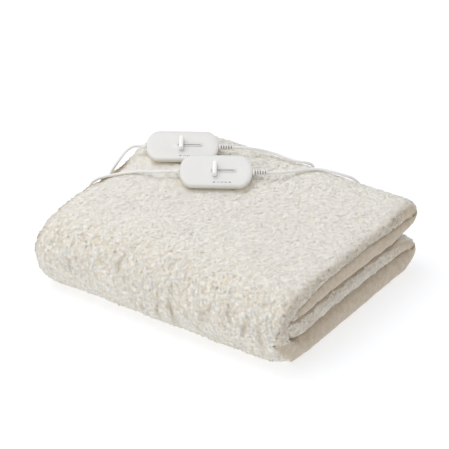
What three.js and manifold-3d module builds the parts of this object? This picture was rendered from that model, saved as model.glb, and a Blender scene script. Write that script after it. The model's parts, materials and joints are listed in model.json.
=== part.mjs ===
// Heated mattress cover folded into a block, with two slide controllers and their cords.
// Millimetres, +Z up, origin at the middle of the underside, the front fold towards -Y.
import * as THREE from "three";
import { mergeVertices } from "three/addons/utils/BufferGeometryUtils.js";
import Module from "manifold-3d";

const wasm = await Module();
wasm.setup();

// Driving dimensions of the folded cover
const COVER_LENGTH = 482;        // along X, the width of the folded strip
const COVER_DEPTH = 426;         // along Y, from the front fold to the far folds
const PLY_GAP = 2;               // air between two layers
const EDGE_ROUND = 12;           // how far in from each side the hem is rounded
const EDGE_THIN = 0.34;          // share of a layer's thickness left at the very edge
const LEFT_END_HEIGHT = 0.94;    // the stack is this much lower at the -X side
// Plan radius of each corner, at the underside and at the top
const BACK_LEFT_CORNER = { low: 70, high: 70 };
const FRONT_LEFT_CORNER = { low: 44, high: 8 };
const FRONT_RIGHT_CORNER = { low: 52, high: 20 };
const BACK_RIGHT_CORNER = { low: 8, high: 8 };
const CORNER_TALL = 90;          // height at which a corner has its top radius
const CORNER_OUT = 4;            // how far past the hem a corner's curve begins

// Driving dimensions of the controllers and cords
const CORD_D = 5;
const CORD_SIDES = 10;
const CORD_STEP = 12;            // length of one straight stretch of a cord's tube
const JOIN_GAP = 0.3;            // between two pieces that touch
const CASE_LENGTH = 120;
const CASE_WIDTH = 64;
const CASE_END = 22;             // reach of each rounded end along the case
const CASE_TOP = 5;              // upper shell's height over the parting line
const CASE_BOTTOM = 9;           // lower shell's depth under it
const UPPER_ROUND = { inward: 4.5, upward: 3.5, steps: 3 };
const LOWER_ROUND = { inward: 10, upward: 8, steps: 2 };
const SLOT_START = -7.5;
const SLOT_END = 29.5;
const SLOT_WIDTH = 2.4;
const SLOT_DEPTH = 4;
const LIP_WIDTH = 2.2;
const LIP_HEIGHT = 0.8;
const KNOB_X = -2;
const KNOB_THICK = 7.5;
const KNOB_SPAN = 27;
const KNOB_HEIGHT = 8.5;
const KNOB_EDGE = 1.2;           // rounding of the blade
const KNOB_STEM = 3;             // length of the stem in the slot
const STEM_CLEAR = 0.5;          // between the stem and the slot's floor
const TURNED_SIDES = 12;         // sides of a small turned piece
const CASE_RELIEF = { length: 24, from: 5.2, to: 4.4, ribs: 5 };
const PLUG_RELIEF = { length: 20, from: 5, to: 3.4, ribs: 4 };
const RIB_DEEP = 1;
const INLET = { length: 9, from: 4.2, to: 3.9, tip: 2.9, taper: 2 };
const COIL_RADIUS = 30;          // middle of the turns
const COIL_SPAN = 4 * CORD_D;    // four turns side by side
const COIL_HEIGHT = 2 * CORD_D;  // and two on each other
const TAIL_LENGTH = 24;          // from the coil to the plug's relief

// The middle of each controller's parting line, its turn about Z and its tilt towards the front
const CONTROLLERS = [
  { name: "front", x: -67.3, y: 62.5, z: 138.4, turn: 33, tilt: 23.5 },
  { name: "rear", x: -158.2, y: 96.8, z: 140.2, turn: 33, tilt: 18 },
];

const CLOTH = new THREE.MeshStandardMaterial({ color: 0xe4e0d6, roughness: 0.95, metalness: 0 });
const CASE_WHITE = new THREE.MeshStandardMaterial({ color: 0xf2f2f0, roughness: 0.25, metalness: 0 });
const KNOB_WHITE = new THREE.MeshStandardMaterial({ color: 0xfafaf8, roughness: 0.35, metalness: 0 });
const RUBBER_WHITE = new THREE.MeshStandardMaterial({ color: 0xeaeae8, roughness: 0.5, metalness: 0 });
const PIN_METAL = new THREE.MeshStandardMaterial({ color: 0xc9c7c0, roughness: 0.3, metalness: 1 });

const object = new THREE.Group();

function addPiece(parent, name, geometry, material) {
  const mesh = new THREE.Mesh(geometry, material);
  mesh.name = name;
  parent.add(mesh);
  return mesh;
}

// Joining and cutting

function toSolid(geometry) {
  const bare = geometry.clone();
  bare.deleteAttribute("normal");
  bare.deleteAttribute("uv");
  const merged = mergeVertices(bare, 1e-4);
  return new wasm.Manifold(new wasm.Mesh({
    numProp: 3,
    vertProperties: new Float32Array(merged.attributes.position.array),
    triVerts: new Uint32Array(merged.index.array),
  }));
}

function toGeometry(solid) {
  const mesh = solid.getMesh();
  const geometry = new THREE.BufferGeometry();
  geometry.setAttribute("position", new THREE.BufferAttribute(new Float32Array(mesh.vertProperties), 3));
  geometry.setIndex(new THREE.BufferAttribute(new Uint32Array(mesh.triVerts), 1));
  return geometry;
}

// Heights of the layers' faces along the depth of the stack, drawn at the +X side.
// y runs from the front fold to the far folds, z is the height there.
const TOP = [
  { y: -150, z: 129.5 }, { y: -100, z: 131 }, { y: -50, z: 130 }, { y: 0, z: 128.5 },
  { y: 60, z: 128 }, { y: 120, z: 128 }, { y: 175, z: 126.5 },
];
const GAP_1_2 = [
  { y: -175, z: 91 }, { y: -162, z: 96 }, { y: -140, z: 101 }, { y: -114, z: 106.5 }, { y: -70, z: 111 },
  { y: -33, z: 112 }, { y: 20, z: 111.5 }, { y: 67, z: 109.5 }, { y: 100, z: 107 }, { y: 135, z: 103.5 },
  { y: 175, z: 99 },
];
const GAP_2_3 = [
  { y: -178, z: 87 }, { y: -162, z: 82 }, { y: -143, z: 78 }, { y: -109, z: 76 }, { y: -68, z: 77 },
  { y: 0, z: 75.5 }, { y: 53, z: 73 }, { y: 100, z: 71 }, { y: 142, z: 69 }, { y: 175, z: 65 },
];
const GAP_3_4 = [
  { y: -155, z: 44 }, { y: -129, z: 43 }, { y: -90, z: 45.5 }, { y: -25, z: 46 }, { y: 59, z: 45 },
  { y: 103, z: 44 }, { y: 135, z: 42 }, { y: 175, z: 37 },
];

function heightOn(table, y) {
  const last = table.length - 1;
  if (y <= table[0].y) return table[0].z;
  if (y >= table[last].y) return table[last].z;
  const i = table.findIndex((row) => row.y > y) - 1;
  const slope = (k) => {
    const a = table[Math.max(k - 1, 0)];
    const b = table[Math.min(k + 1, last)];
    return (b.z - a.z) / (b.y - a.y);
  };
  const span = table[i + 1].y - table[i].y;
  const t = (y - table[i].y) / span;
  const t2 = t * t;
  const t3 = t2 * t;
  return (2 * t3 - 3 * t2 + 1) * table[i].z + (t3 - 2 * t2 + t) * span * slope(i)
    + (3 * t2 - 2 * t3) * table[i + 1].z + (t3 - t2) * span * slope(i + 1);
}

function smoothStep(from, to, value) {
  const t = Math.min(1, Math.max(0, (value - from) / (to - from)));
  return t * t * (3 - 2 * t);
}

// The notch between the two far folds opens towards the back
const NOTCH = { from: 135, to: 178, half: 5.5 };
const FOLD_STEPS = { far: 6, nose: 10, tip: 5 };
const EYE = { upper: 4, lower: 2 };  // how far the inside of each far fold reaches
const TIP_CURL = 0.92;               // share of the half round that the hem's tip turns
const notchHalf = (y) => PLY_GAP / 2 + NOTCH.half * smoothStep(NOTCH.from, NOTCH.to, y);

const layerTop = {
  one: (y) => heightOn(TOP, y),
  two: (y) => heightOn(GAP_1_2, y) - PLY_GAP / 2,
  three: (y) => heightOn(GAP_2_3, y) - notchHalf(y),
  four: (y) => heightOn(GAP_3_4, y) - PLY_GAP / 2,
};
const layerBottom = {
  one: (y) => heightOn(GAP_1_2, y) + PLY_GAP / 2,
  two: (y) => heightOn(GAP_2_3, y) + notchHalf(y),
  three: (y) => heightOn(GAP_3_4, y) + PLY_GAP / 2,
  four: () => 0,
};

// Where the folds and the free ends begin, on the same drawing
const FAR_START = 172;
const UPPER_FAR = { reach: 215, middle: 92 };
const LOWER_FAR = { reach: 212, middle: 21 };
const NOSE = { topStart: -137, bottomStart: -156, reach: -211, middle: 60 };
const NOSE_INSIDE = { topStart: -137, bottomStart: -150, reach: -193, middle: 78 };
const TIP_TWO = -173;
const TIP_THREE = { start: -150, end: -175, reach: -190.5, middle: 76, top: { y: -179, z: 85 } };
const ROWS = {
  two: [TIP_TWO, -160, -138, -108, -70, -30, 10, 50, 90, 125, 152, FAR_START],
  one: [FAR_START, 150, 127, 104, 82, 60, 38, 15, -8, -32, -58, -84, -110, NOSE.topStart],
  four: [NOSE.bottomStart, -105, -50, 10, 70, 125, FAR_START],
  three: [FAR_START, 152, 120, 75, 25, -25, -75, -115, TIP_THREE.start],
};

// A point of a quarter ellipse, turn 0 at its start over the centre and 1 at its reach
function quarter(centre, reachY, edgeZ, turn) {
  const angle = turn * Math.PI / 2;
  return {
    y: centre.y + (reachY - centre.y) * Math.sin(angle),
    z: centre.z + (edgeZ - centre.z) * Math.cos(angle),
  };
}

// One fold's outline: from its first edge round its reach to its second edge
function foldPoint(first, second, reach, middle, share) {
  return share < 0.5
    ? quarter({ y: first.y, z: middle }, reach, first.z, share * 2)
    : quarter({ y: second.y, z: middle }, reach, second.z, 2 - share * 2);
}

// The whole section: the pile face and the backing face of one strip, end to end
function drawSection() {
  const rows = [];
  const add = (layer, pile, backing) => rows.push({ layer, pile, backing });
  const shares = (count) => Array.from({ length: count }, (_, i) => (i + 1) / (count + 1));

  for (const y of ROWS.two) {
    add("two", { y, z: layerBottom.two(y) }, { y, z: layerTop.two(y) });
  }
  const upperEye = { y: FAR_START + EYE.upper, z: heightOn(GAP_1_2, FAR_START) };
  for (const share of shares(FOLD_STEPS.far)) {
    const first = { y: FAR_START, z: layerBottom.two(FAR_START) };
    const second = { y: FAR_START, z: layerTop.one(FAR_START) };
    const turn = (share - 0.5) * Math.PI;
    add("upperFar", foldPoint(first, second, UPPER_FAR.reach, UPPER_FAR.middle, share), {
      y: upperEye.y - EYE.upper * Math.abs(2 * share - 1) + PLY_GAP / 2 * Math.cos(turn),
      z: upperEye.z + PLY_GAP / 2 * Math.sin(turn),
    });
  }
  for (const y of ROWS.one) {
    add("one", { y, z: layerTop.one(y) }, { y, z: layerBottom.one(y) });
  }
  for (const share of shares(FOLD_STEPS.nose)) {
    add(
      "nose",
      foldPoint(
        { y: NOSE.topStart, z: layerTop.one(NOSE.topStart) },
        { y: NOSE.bottomStart, z: 0 }, NOSE.reach, NOSE.middle, share,
      ),
      foldPoint(
        { y: NOSE_INSIDE.topStart, z: layerBottom.one(NOSE_INSIDE.topStart) },
        { y: NOSE_INSIDE.bottomStart, z: layerTop.four(NOSE_INSIDE.bottomStart) },
        NOSE_INSIDE.reach, NOSE_INSIDE.middle, share,
      ),
    );
  }
  for (const y of ROWS.four) {
    const inside = Math.max(y, NOSE_INSIDE.bottomStart);
    add("four", { y, z: 0 }, { y: inside, z: layerTop.four(inside) });
  }
  const lowerEye = { y: FAR_START + EYE.lower, z: heightOn(GAP_3_4, FAR_START) };
  for (const share of shares(FOLD_STEPS.far)) {
    const first = { y: FAR_START, z: 0 };
    const second = { y: FAR_START, z: layerTop.three(FAR_START) };
    const turn = (share - 0.5) * Math.PI;
    add("lowerFar", foldPoint(first, second, LOWER_FAR.reach, LOWER_FAR.middle, share), {
      y: lowerEye.y - EYE.lower * Math.abs(2 * share - 1) + PLY_GAP / 2 * Math.cos(turn),
      z: lowerEye.z + PLY_GAP / 2 * Math.sin(turn),
    });
  }
  for (const y of ROWS.three) {
    add("three", { y, z: layerTop.three(y) }, { y, z: layerBottom.three(y) });
  }
  const low = { y: TIP_THREE.start, z: layerBottom.three(TIP_THREE.start) };
  for (let i = 1; i <= FOLD_STEPS.tip; i += 1) {
    const share = i / FOLD_STEPS.tip;
    const y = THREE.MathUtils.lerp(TIP_THREE.start, TIP_THREE.end, share);
    const round = foldPoint(low, TIP_THREE.top, TIP_THREE.reach, TIP_THREE.middle, share * TIP_CURL);
    add("three", { y, z: layerTop.three(y) }, round);
  }
  return rows;
}

// How far each layer's hem stands in from the sides of the stack, easing in over this width
const HEM_REACH = 60;
const HEM_INSET = {
  two: { left: 3, right: 3.5 }, upperFar: { left: 1, right: 1.5 }, one: { left: 0, right: 0 },
  nose: { left: 0, right: 0 }, four: { left: 1, right: 0 }, lowerFar: { left: 2, right: 1 },
  three: { left: 4, right: 2.5 },
};

// Slow unevenness of the stack: wave lengths and phases along X and Y, and height
const WAVES = [
  { alongX: 173, alongY: 240, phase: 0.6, height: 0.9 },
  { alongX: -96, alongY: 131, phase: 2.1, height: 0.7 },
  { alongX: 61, alongY: 88, phase: 4.0, height: 0.5 },
];

// The cloth under a controller lies against its flat underside and falls away around it
const SEAT = { along: 48, across: 20, full: 8, reach: 42, clear: 21 };
const DROOPS = [
  { side: -1, reach: 80, drop: 10 },
  { side: 1, reach: 42, drop: 4 },
];

// How much of the top's unevenness a lower layer takes on: its share of the height to this power
const LIFT_POWER = 1.3;

// Short troughs pressed into the front fold, full from one depth and fading out to the other
const CREASED = { from: -170, full: -208 };
const CREASES = [
  { x: -172, z: 62, wide: 9, tall: 20, deep: 3.5 },
  { x: -106, z: 70, wide: 10, tall: 24, deep: 3 },
  { x: -44, z: 42, wide: 9, tall: 22, deep: 3.5 },
  { x: 150, z: 60, wide: 14, tall: 34, deep: 4 },
];
const STATIONS = [
  -241, -238, -229, -214, -192, -172, -152, -128, -106, -86, -65, -44, -24, -2, 20, 42,
  64, 86, 108, 129, 150, 171, 192, 212, 229, 238, 241,
];

const bell = (t) => Math.exp(-t * t);

function waves(x, y) {
  let sum = 0;
  for (const wave of WAVES) {
    sum += wave.height * Math.sin(2 * Math.PI * (x / wave.alongX + y / wave.alongY) + wave.phase);
  }
  return sum;
}

// How far the seats of the controllers lift or press down the top of the stack
function seats(x, y, top) {
  let pull = 0;
  let total = 0;
  let limit = Infinity;
  for (const unit of CONTROLLERS) {
    const turn = THREE.MathUtils.degToRad(unit.turn);
    const tilt = THREE.MathUtils.degToRad(unit.tilt);
    const along = (x - unit.x) * Math.cos(turn) + (y - unit.y) * Math.sin(turn);
    const across = (y - unit.y) * Math.cos(turn) - (x - unit.x) * Math.sin(turn);
    const underside = unit.z - (CASE_BOTTOM + JOIN_GAP) / Math.cos(tilt) + across * Math.tan(tilt);
    const outside = Math.hypot(
      Math.max(0, Math.abs(along) - SEAT.along),
      Math.max(0, Math.abs(across) - SEAT.across),
    );
    const share = smoothStep(SEAT.reach, SEAT.full, outside);
    pull += share * (underside - top);
    total += share;
    if (outside < SEAT.clear) limit = Math.min(limit, underside - top);
  }
  return Math.min(limit, pull / Math.max(1, total));
}

function droops(x) {
  let sum = 0;
  for (const droop of DROOPS) {
    const inside = Math.min(1, (COVER_LENGTH / 2 - droop.side * x) / droop.reach);
    sum += droop.drop * (1 - inside) ** 2;
  }
  return sum;
}

function cornerCut(fromEnd, corner, z) {
  const radius = THREE.MathUtils.lerp(corner.low, corner.high, Math.min(1, z / CORNER_TALL));
  if (fromEnd >= radius) return 0;
  return radius - Math.sqrt(radius ** 2 - (radius - fromEnd) ** 2);
}

// Moves a point of the flat section to its place in the stack
function settle(x, point) {
  const half = COVER_DEPTH / 2;
  const left = COVER_LENGTH / 2 + CORNER_OUT + x;
  const right = COVER_LENGTH / 2 + CORNER_OUT - x;
  const back = half - cornerCut(left, BACK_LEFT_CORNER, point.z)
    - cornerCut(right, BACK_RIGHT_CORNER, point.z);
  const front = -half + cornerCut(left, FRONT_LEFT_CORNER, point.z)
    + cornerCut(right, FRONT_RIGHT_CORNER, point.z);
  let y = front + (point.y - NOSE.reach) / (UPPER_FAR.reach - NOSE.reach) * (back - front);
  const height = THREE.MathUtils.lerp(LEFT_END_HEIGHT, 1, (x + COVER_LENGTH / 2) / COVER_LENGTH);
  const slow = waves(x, y) - droops(x);
  const top = heightOn(TOP, point.y);
  const lift = Math.min(1, Math.max(0, point.z / top)) ** LIFT_POWER;
  const z = point.z * height + lift * (slow + seats(x, y, top * height + slow));
  const frontShare = smoothStep(CREASED.from, CREASED.full, point.y);
  for (const crease of CREASES) {
    const press = bell((x - crease.x) / crease.wide) * bell((point.z - crease.z) / crease.tall);
    y += frontShare * crease.deep * press;
  }
  return new THREE.Vector3(x, y, z);
}

// The cover: the section carried from side to side, thinner at its rounded hems
function makeCover() {
  const section = drawSection();
  const count = section.length * 2;
  const points = [];
  for (const x of STATIONS) {
    const side = Math.sign(x);
    const fromEdge = Math.min(EDGE_ROUND, COVER_LENGTH / 2 - Math.abs(x));
    const full = Math.sqrt(1 - (1 - fromEdge / EDGE_ROUND) ** 2);
    const thickness = EDGE_THIN + (1 - EDGE_THIN) * full;
    const nearEdge = smoothStep(HEM_REACH, 0, COVER_LENGTH / 2 - Math.abs(x));
    const place = (row, face) => {
      const inset = HEM_INSET[row.layer][side < 0 ? "left" : "right"] * nearEdge;
      const middle = { y: (row.pile.y + row.backing.y) / 2, z: (row.pile.z + row.backing.z) / 2 };
      return settle(x - side * inset, {
        y: middle.y + (row[face].y - middle.y) * thickness,
        z: middle.z + (row[face].z - middle.z) * thickness,
      });
    };
    for (const row of section) points.push(place(row, "pile"));
    for (const row of [...section].reverse()) points.push(place(row, "backing"));
  }
  const triangles = [];
  for (let i = 0; i < STATIONS.length - 1; i += 1) {
    for (let k = 0; k < count; k += 1) {
      const a = i * count + k;
      const b = i * count + (k + 1) % count;
      triangles.push(a, b, a + count, b, b + count, a + count);
    }
  }
  const last = (STATIONS.length - 1) * count;
  for (let k = 0; k < section.length - 1; k += 1) {
    const far = count - 1 - k;
    triangles.push(k, far, k + 1, k + 1, far, far - 1);
    triangles.push(last + k, last + k + 1, last + far, last + k + 1, last + far - 1, last + far);
  }
  const geometry = new THREE.BufferGeometry().setFromPoints(points);
  geometry.setIndex(triangles);
  geometry.computeVertexNormals();
  return geometry;
}

addPiece(object, "cover_cloth", makeCover(), CLOTH);

// Pieces turned about their own axis, laid along +X

function turned(profile) {
  const outline = profile.map((row) => new THREE.Vector2(row.r, row.at));
  return new THREE.LatheGeometry(outline, TURNED_SIDES).rotateZ(-Math.PI / 2);
}

// A moulded strain relief: a collar, then ribs that get smaller towards the cord
function ribbedRelief({ length, from, to, ribs }) {
  const collar = 3;
  const edge = 0.2;
  const pitch = (length - collar) / ribs;
  const profile = [{ r: 0, at: 0 }, { r: from, at: 0 }, { r: from, at: collar }];
  for (let i = 0; i < ribs; i += 1) {
    const rib = from - (from - to) * (i + 1) / ribs;
    const start = collar + i * pitch;
    profile.push({ r: rib - RIB_DEEP, at: start + edge }, { r: rib - RIB_DEEP, at: start + pitch * 0.4 });
    profile.push({ r: rib, at: start + pitch * 0.55 }, { r: rib, at: start + pitch - edge });
  }
  profile.push({ r: CORD_D / 2, at: length }, { r: 0, at: length });
  return turned(profile);
}

// Controllers

function caseOutline(inset) {
  const straight = CASE_LENGTH / 2 - CASE_END;
  const reach = CASE_END - inset;
  const half = CASE_WIDTH / 2 - inset;
  const outline = new THREE.Shape();
  outline.absellipse(straight, 0, reach, half, -Math.PI / 2, Math.PI / 2, false);
  outline.absellipse(-straight, 0, reach, half, Math.PI / 2, 3 * Math.PI / 2, false);
  return outline;
}

function slotOutline(start, end, half) {
  const outline = new THREE.Shape();
  outline.absarc(end - half, 0, half, -Math.PI / 2, Math.PI / 2, false);
  outline.absarc(start + half, 0, half, Math.PI / 2, 3 * Math.PI / 2, false);
  return outline;
}

function plainExtrude(outline, depth, curveSegments) {
  return new THREE.ExtrudeGeometry(outline, { depth, curveSegments, bevelEnabled: false });
}

// A shell with one rounded face and one flat face at the parting line
function halfCase(height, round) {
  const whole = new THREE.ExtrudeGeometry(caseOutline(round.inward), {
    depth: 2 * (height - round.upward),
    bevelThickness: round.upward,
    bevelSize: round.inward,
    bevelSegments: round.steps,
    curveSegments: 10,
  });
  whole.translate(0, 0, round.upward - height);
  const below = new THREE.BoxGeometry(CASE_LENGTH * 1.2, CASE_WIDTH * 1.2, height * 2);
  below.translate(0, 0, JOIN_GAP / 2 - height);
  return toSolid(whole).subtract(toSolid(below));
}

function makeUpperShell() {
  const lipStart = SLOT_START - LIP_WIDTH;
  const lipEnd = SLOT_END + LIP_WIDTH;
  const lipHalf = SLOT_WIDTH / 2 + LIP_WIDTH;
  const lip = plainExtrude(slotOutline(lipStart, lipEnd, lipHalf), LIP_HEIGHT * 2, 4);
  lip.translate(0, 0, CASE_TOP - LIP_HEIGHT);
  const slotTall = SLOT_DEPTH + LIP_HEIGHT * 2;
  const slot = plainExtrude(slotOutline(SLOT_START, SLOT_END, SLOT_WIDTH / 2), slotTall, 3);
  slot.translate(0, 0, CASE_TOP - SLOT_DEPTH);
  return toGeometry(halfCase(CASE_TOP, UPPER_ROUND).add(toSolid(lip)).subtract(toSolid(slot)));
}

function makeLowerShell() {
  return toGeometry(halfCase(CASE_BOTTOM, LOWER_ROUND)).rotateX(Math.PI);
}

// The finger blade and the stem that runs in the slot
function makeKnob() {
  const reach = KNOB_SPAN / 2 - KNOB_EDGE;
  const blade = new THREE.ExtrudeGeometry(slotOutline(-reach, reach, KNOB_THICK / 2 - KNOB_EDGE), {
    depth: KNOB_HEIGHT - 2 * KNOB_EDGE,
    bevelThickness: KNOB_EDGE,
    bevelSize: KNOB_EDGE,
    bevelSegments: 2,
    curveSegments: 4,
  });
  blade.rotateZ(Math.PI / 2);
  blade.translate(0, 0, CASE_TOP + LIP_HEIGHT + JOIN_GAP + KNOB_EDGE);
  const stemBottom = CASE_TOP - SLOT_DEPTH + STEM_CLEAR;
  const stemTop = CASE_TOP + LIP_HEIGHT + KNOB_EDGE + JOIN_GAP;
  const stem = new THREE.BoxGeometry(KNOB_STEM, SLOT_WIDTH - 2 * JOIN_GAP, stemTop - stemBottom);
  stem.translate(0, 0, (stemTop + stemBottom) / 2);
  return toGeometry(toSolid(blade).add(toSolid(stem))).translate(KNOB_X, 0, 0);
}

for (const unit of CONTROLLERS) {
  const frame = new THREE.Group();
  frame.rotation.order = "ZYX";
  frame.rotation.z = THREE.MathUtils.degToRad(unit.turn);
  frame.rotation.x = THREE.MathUtils.degToRad(unit.tilt);
  frame.position.set(unit.x, unit.y, unit.z);
  object.add(frame);
  const end = CASE_LENGTH / 2 + JOIN_GAP;
  addPiece(frame, `${unit.name}_lower_shell`, makeLowerShell(), CASE_WHITE);
  addPiece(frame, `${unit.name}_upper_shell`, makeUpperShell(), CASE_WHITE);
  addPiece(frame, `${unit.name}_slide_knob`, makeKnob(), KNOB_WHITE);
  const relief = ribbedRelief(CASE_RELIEF).translate(end, 0, 0);
  addPiece(frame, `${unit.name}_strain_relief`, relief, RUBBER_WHITE);
  const inlet = turned([
    { r: 0, at: 0 }, { r: INLET.from, at: 0 }, { r: INLET.to, at: INLET.length - INLET.taper },
    { r: INLET.tip, at: INLET.length }, { r: 0, at: INLET.length },
  ]).rotateZ(Math.PI).translate(-end, 0, 0);
  addPiece(frame, `${unit.name}_cord_inlet`, inlet, RUBBER_WHITE);
}

// Cords: each route is a hand-laid list of points

function layCord(name, route) {
  const points = route.map((row) => new THREE.Vector3(...row));
  const curve = new THREE.CatmullRomCurve3(points, false, "centripetal");
  const ring = new THREE.Shape();
  ring.absarc(0, 0, CORD_D / 2, 0, 2 * Math.PI, false);
  const steps = Math.ceil(curve.getLength() / CORD_STEP);
  const tube = new THREE.ExtrudeGeometry(new THREE.Shape(ring.getPoints(CORD_SIDES).slice(0, CORD_SIDES)), {
    steps, extrudePath: curve, bevelEnabled: false,
  });
  addPiece(object, name, tube, RUBBER_WHITE);
}

const FRONT_LEAD = [
  [-125.69, 24.58, 138.4], [-134.07, 19.14, 138.4], [-143.3, 13.3, 137.6], [-154.4, 10.9, 135.1],
  [-167.5, 10.6, 131.3], [-182.6, 9.2, 127.5], [-196.6, 3, 123.9], [-208, -4, 121.6], [-219, -13.5, 119.4],
  [-229.5, -24.5, 117.8], [-240.4, -36.5, 113.4], [-247.4, -44, 101], [-248.2, -48, 85], [-247.5, -50.5, 66],
  [-247, -51.5, 44], [-249.5, -49, 25], [-259, -42.5, 11.5], [-273, -29.5, 4.5], [-287, -9, 3],
  [-294.5, 14, 3], [-296, 40, 3], [-296, 62, 3.2], [-295, 78, 4.6], [-293.5, 91, 8], [-290.3, 103, 12.6],
  [-281.5, 111.8, 17.6], [-270, 115, 19.8], [-261.5, 115, 19.8],
];
const REAR_LEAD = [
  [-216.59, 58.88, 140.2], [-224.97, 53.44, 140.2], [-230.1, 46.1, 137.9], [-233.8, 37.8, 132.8],
  [-236.5, 30, 125.7], [-239.7, 22.6, 117.4], [-243, 15.5, 108], [-246, 10.5, 96], [-246.5, 4, 80],
  [-246, -2, 62], [-246.5, -4.5, 43], [-250.5, -3, 26], [-258, 2.5, 12.5], [-269, 13, 5], [-279.5, 27, 3],
  [-285, 40, 4.2], [-286, 50, 7.6], [-283.3, 60, 12.6], [-276, 67.3, 17.6], [-267, 70, 19.5],
  [-261.5, 70, 19.5],
];
layCord("front_cover_lead", FRONT_LEAD);
layCord("rear_cover_lead", REAR_LEAD);

const FRONT_MAINS = [
  [3.67, 108.59, 138.4], [12.06, 114.03, 138.4], [18.7, 122.3, 136.6], [24.9, 135.6, 133.6],
  [32.2, 151.4, 130.2], [41.7, 167.4, 128.2], [54, 180.5, 127], [69, 187, 126], [84.8, 190.5, 125.2],
  [97, 195.5, 122.2], [107, 204, 116], [114.5, 212.5, 104.5], [119, 218, 88], [121.5, 219, 68],
  [123.5, 219, 48], [125, 219.3, 30], [125, 223, 15], [125, 231, 6.2], [125, 240.5, 3.2], [125, 248, 3],
];
const REAR_MAINS = [
  [-87.23, 142.89, 140.2], [-78.84, 148.33, 140.2], [-68.2, 156.9, 138.3], [-53.9, 169.7, 133.7],
  [-38.7, 179.4, 129.2], [-22.4, 184.5, 126.2], [-6, 185.5, 124.8], [8, 187.5, 123.8], [19.5, 194, 122.2],
  [25.5, 206.5, 114], [23.5, 216.5, 99], [15, 221, 80], [2, 221, 60], [-14, 220.5, 42], [-28, 221, 27],
  [-38, 224.5, 15], [-43.3, 231.5, 6.6], [-45, 240.5, 3.2], [-45, 248, 3],
];
layCord("front_mains_cord", FRONT_MAINS);
layCord("rear_mains_cord", REAR_MAINS);

// Grommets where the leads enter the cover's -X hem
const GROMMET_X = 1 - COVER_LENGTH / 2 - JOIN_GAP;
const GROMMET = {
  length: 20.9, flange: 9, flangeThick: 2, neck: 5.5, neckStart: 3.5, waist: 5, taperStart: 12, tip: 3,
};
const GROMMETS = [
  { name: "front_lead_grommet", y: 115, z: 19.8 },
  { name: "rear_lead_grommet", y: 70, z: 19.5 },
];
for (const grommet of GROMMETS) {
  const body = turned([
    { r: 0, at: 0 }, { r: GROMMET.flange, at: 0 }, { r: GROMMET.flange, at: GROMMET.flangeThick },
    { r: GROMMET.neck, at: GROMMET.neckStart }, { r: GROMMET.waist, at: GROMMET.taperStart },
    { r: GROMMET.tip, at: GROMMET.length }, { r: 0, at: GROMMET.length },
  ]).rotateZ(Math.PI).translate(GROMMET_X, grommet.y, grommet.z);
  addPiece(object, grommet.name, body, RUBBER_WHITE);
}

// Each mains cord ends in a round coil behind the cover and a two-pin plug beside it
const PLUG = { length: 36, width: 27, thick: 13.5, neck: 0.55, shoulder: 0.45, corner: 3, round: 2.5, z: 7 };
const PIN = { radius: 2, length: 19, spacing: 18.6, tip: 1, taper: 1.5 };
const COILS = [
  { name: "front", x: 87.5, y: 267.8 },
  { name: "rear", x: -82.5, y: 267.8 },
];

function makeCoil() {
  const corner = CORD_D / 2;
  const inner = COIL_RADIUS - COIL_SPAN / 2;
  const outer = COIL_RADIUS + COIL_SPAN / 2;
  const profile = [
    [inner + corner, 0], [outer - corner, 0], [outer, corner], [outer, COIL_HEIGHT - corner],
    [outer - corner, COIL_HEIGHT], [inner + corner, COIL_HEIGHT], [inner, COIL_HEIGHT - corner],
    [inner, corner], [inner + corner, 0],
  ].map((row) => new THREE.Vector2(...row));
  return new THREE.LatheGeometry(profile, 30).rotateX(Math.PI / 2);
}

function makePlugBody() {
  const half = PLUG.width / 2;
  const inner = half - PLUG.corner;
  const shoulder = -PLUG.length * PLUG.shoulder;
  const outline = new THREE.Shape();
  outline.moveTo(0, -half * PLUG.neck);
  outline.lineTo(shoulder, -half);
  outline.lineTo(PLUG.corner - PLUG.length, -half);
  outline.lineTo(-PLUG.length, -inner);
  outline.lineTo(-PLUG.length, inner);
  outline.lineTo(PLUG.corner - PLUG.length, half);
  outline.lineTo(shoulder, half);
  outline.lineTo(0, half * PLUG.neck);
  const body = new THREE.ExtrudeGeometry(outline, {
    depth: PLUG.thick - 2 * PLUG.round,
    bevelThickness: PLUG.round,
    bevelSize: 2,
    bevelOffset: -2,
    bevelSegments: 2,
  });
  return body.translate(0, 0, PLUG.round - PLUG.thick / 2);
}

for (const coil of COILS) {
  addPiece(object, `${coil.name}_cord_coil`, makeCoil().translate(coil.x, coil.y, 0), RUBBER_WHITE);
  const outer = COIL_RADIUS + COIL_SPAN / 2;
  const y = coil.y + outer - CORD_D / 2;
  const tailStart = coil.x - Math.sqrt(outer ** 2 - (outer - CORD_D) ** 2) - JOIN_GAP;
  const tailEnd = tailStart - TAIL_LENGTH;
  const tailTop = COIL_HEIGHT - CORD_D / 2;
  layCord(`${coil.name}_plug_tail`, [
    [tailStart, y, tailTop], [tailStart - 7, y, tailTop], [tailEnd + 7, y, PLUG.z], [tailEnd, y, PLUG.z],
  ]);
  const reliefStart = tailEnd - JOIN_GAP - PLUG_RELIEF.length;
  const relief = ribbedRelief(PLUG_RELIEF).translate(reliefStart, y, PLUG.z);
  addPiece(object, `${coil.name}_plug_relief`, relief, RUBBER_WHITE);
  const bodyStart = reliefStart - JOIN_GAP;
  addPiece(object, `${coil.name}_plug_body`, makePlugBody().translate(bodyStart, y, PLUG.z), CASE_WHITE);
  for (const side of [-1, 1]) {
    const pin = turned([
      { r: 0, at: 0 }, { r: PIN.radius, at: 0 }, { r: PIN.radius, at: PIN.length - PIN.taper },
      { r: PIN.tip, at: PIN.length }, { r: 0, at: PIN.length },
    ]).rotateZ(Math.PI);
    pin.translate(bodyStart - PLUG.length - JOIN_GAP, y + side * PIN.spacing / 2, PLUG.z);
    addPiece(object, `${coil.name}_plug_pin_${side < 0 ? "near" : "far"}`, pin, PIN_METAL);
  }
}

export default object;
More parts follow.
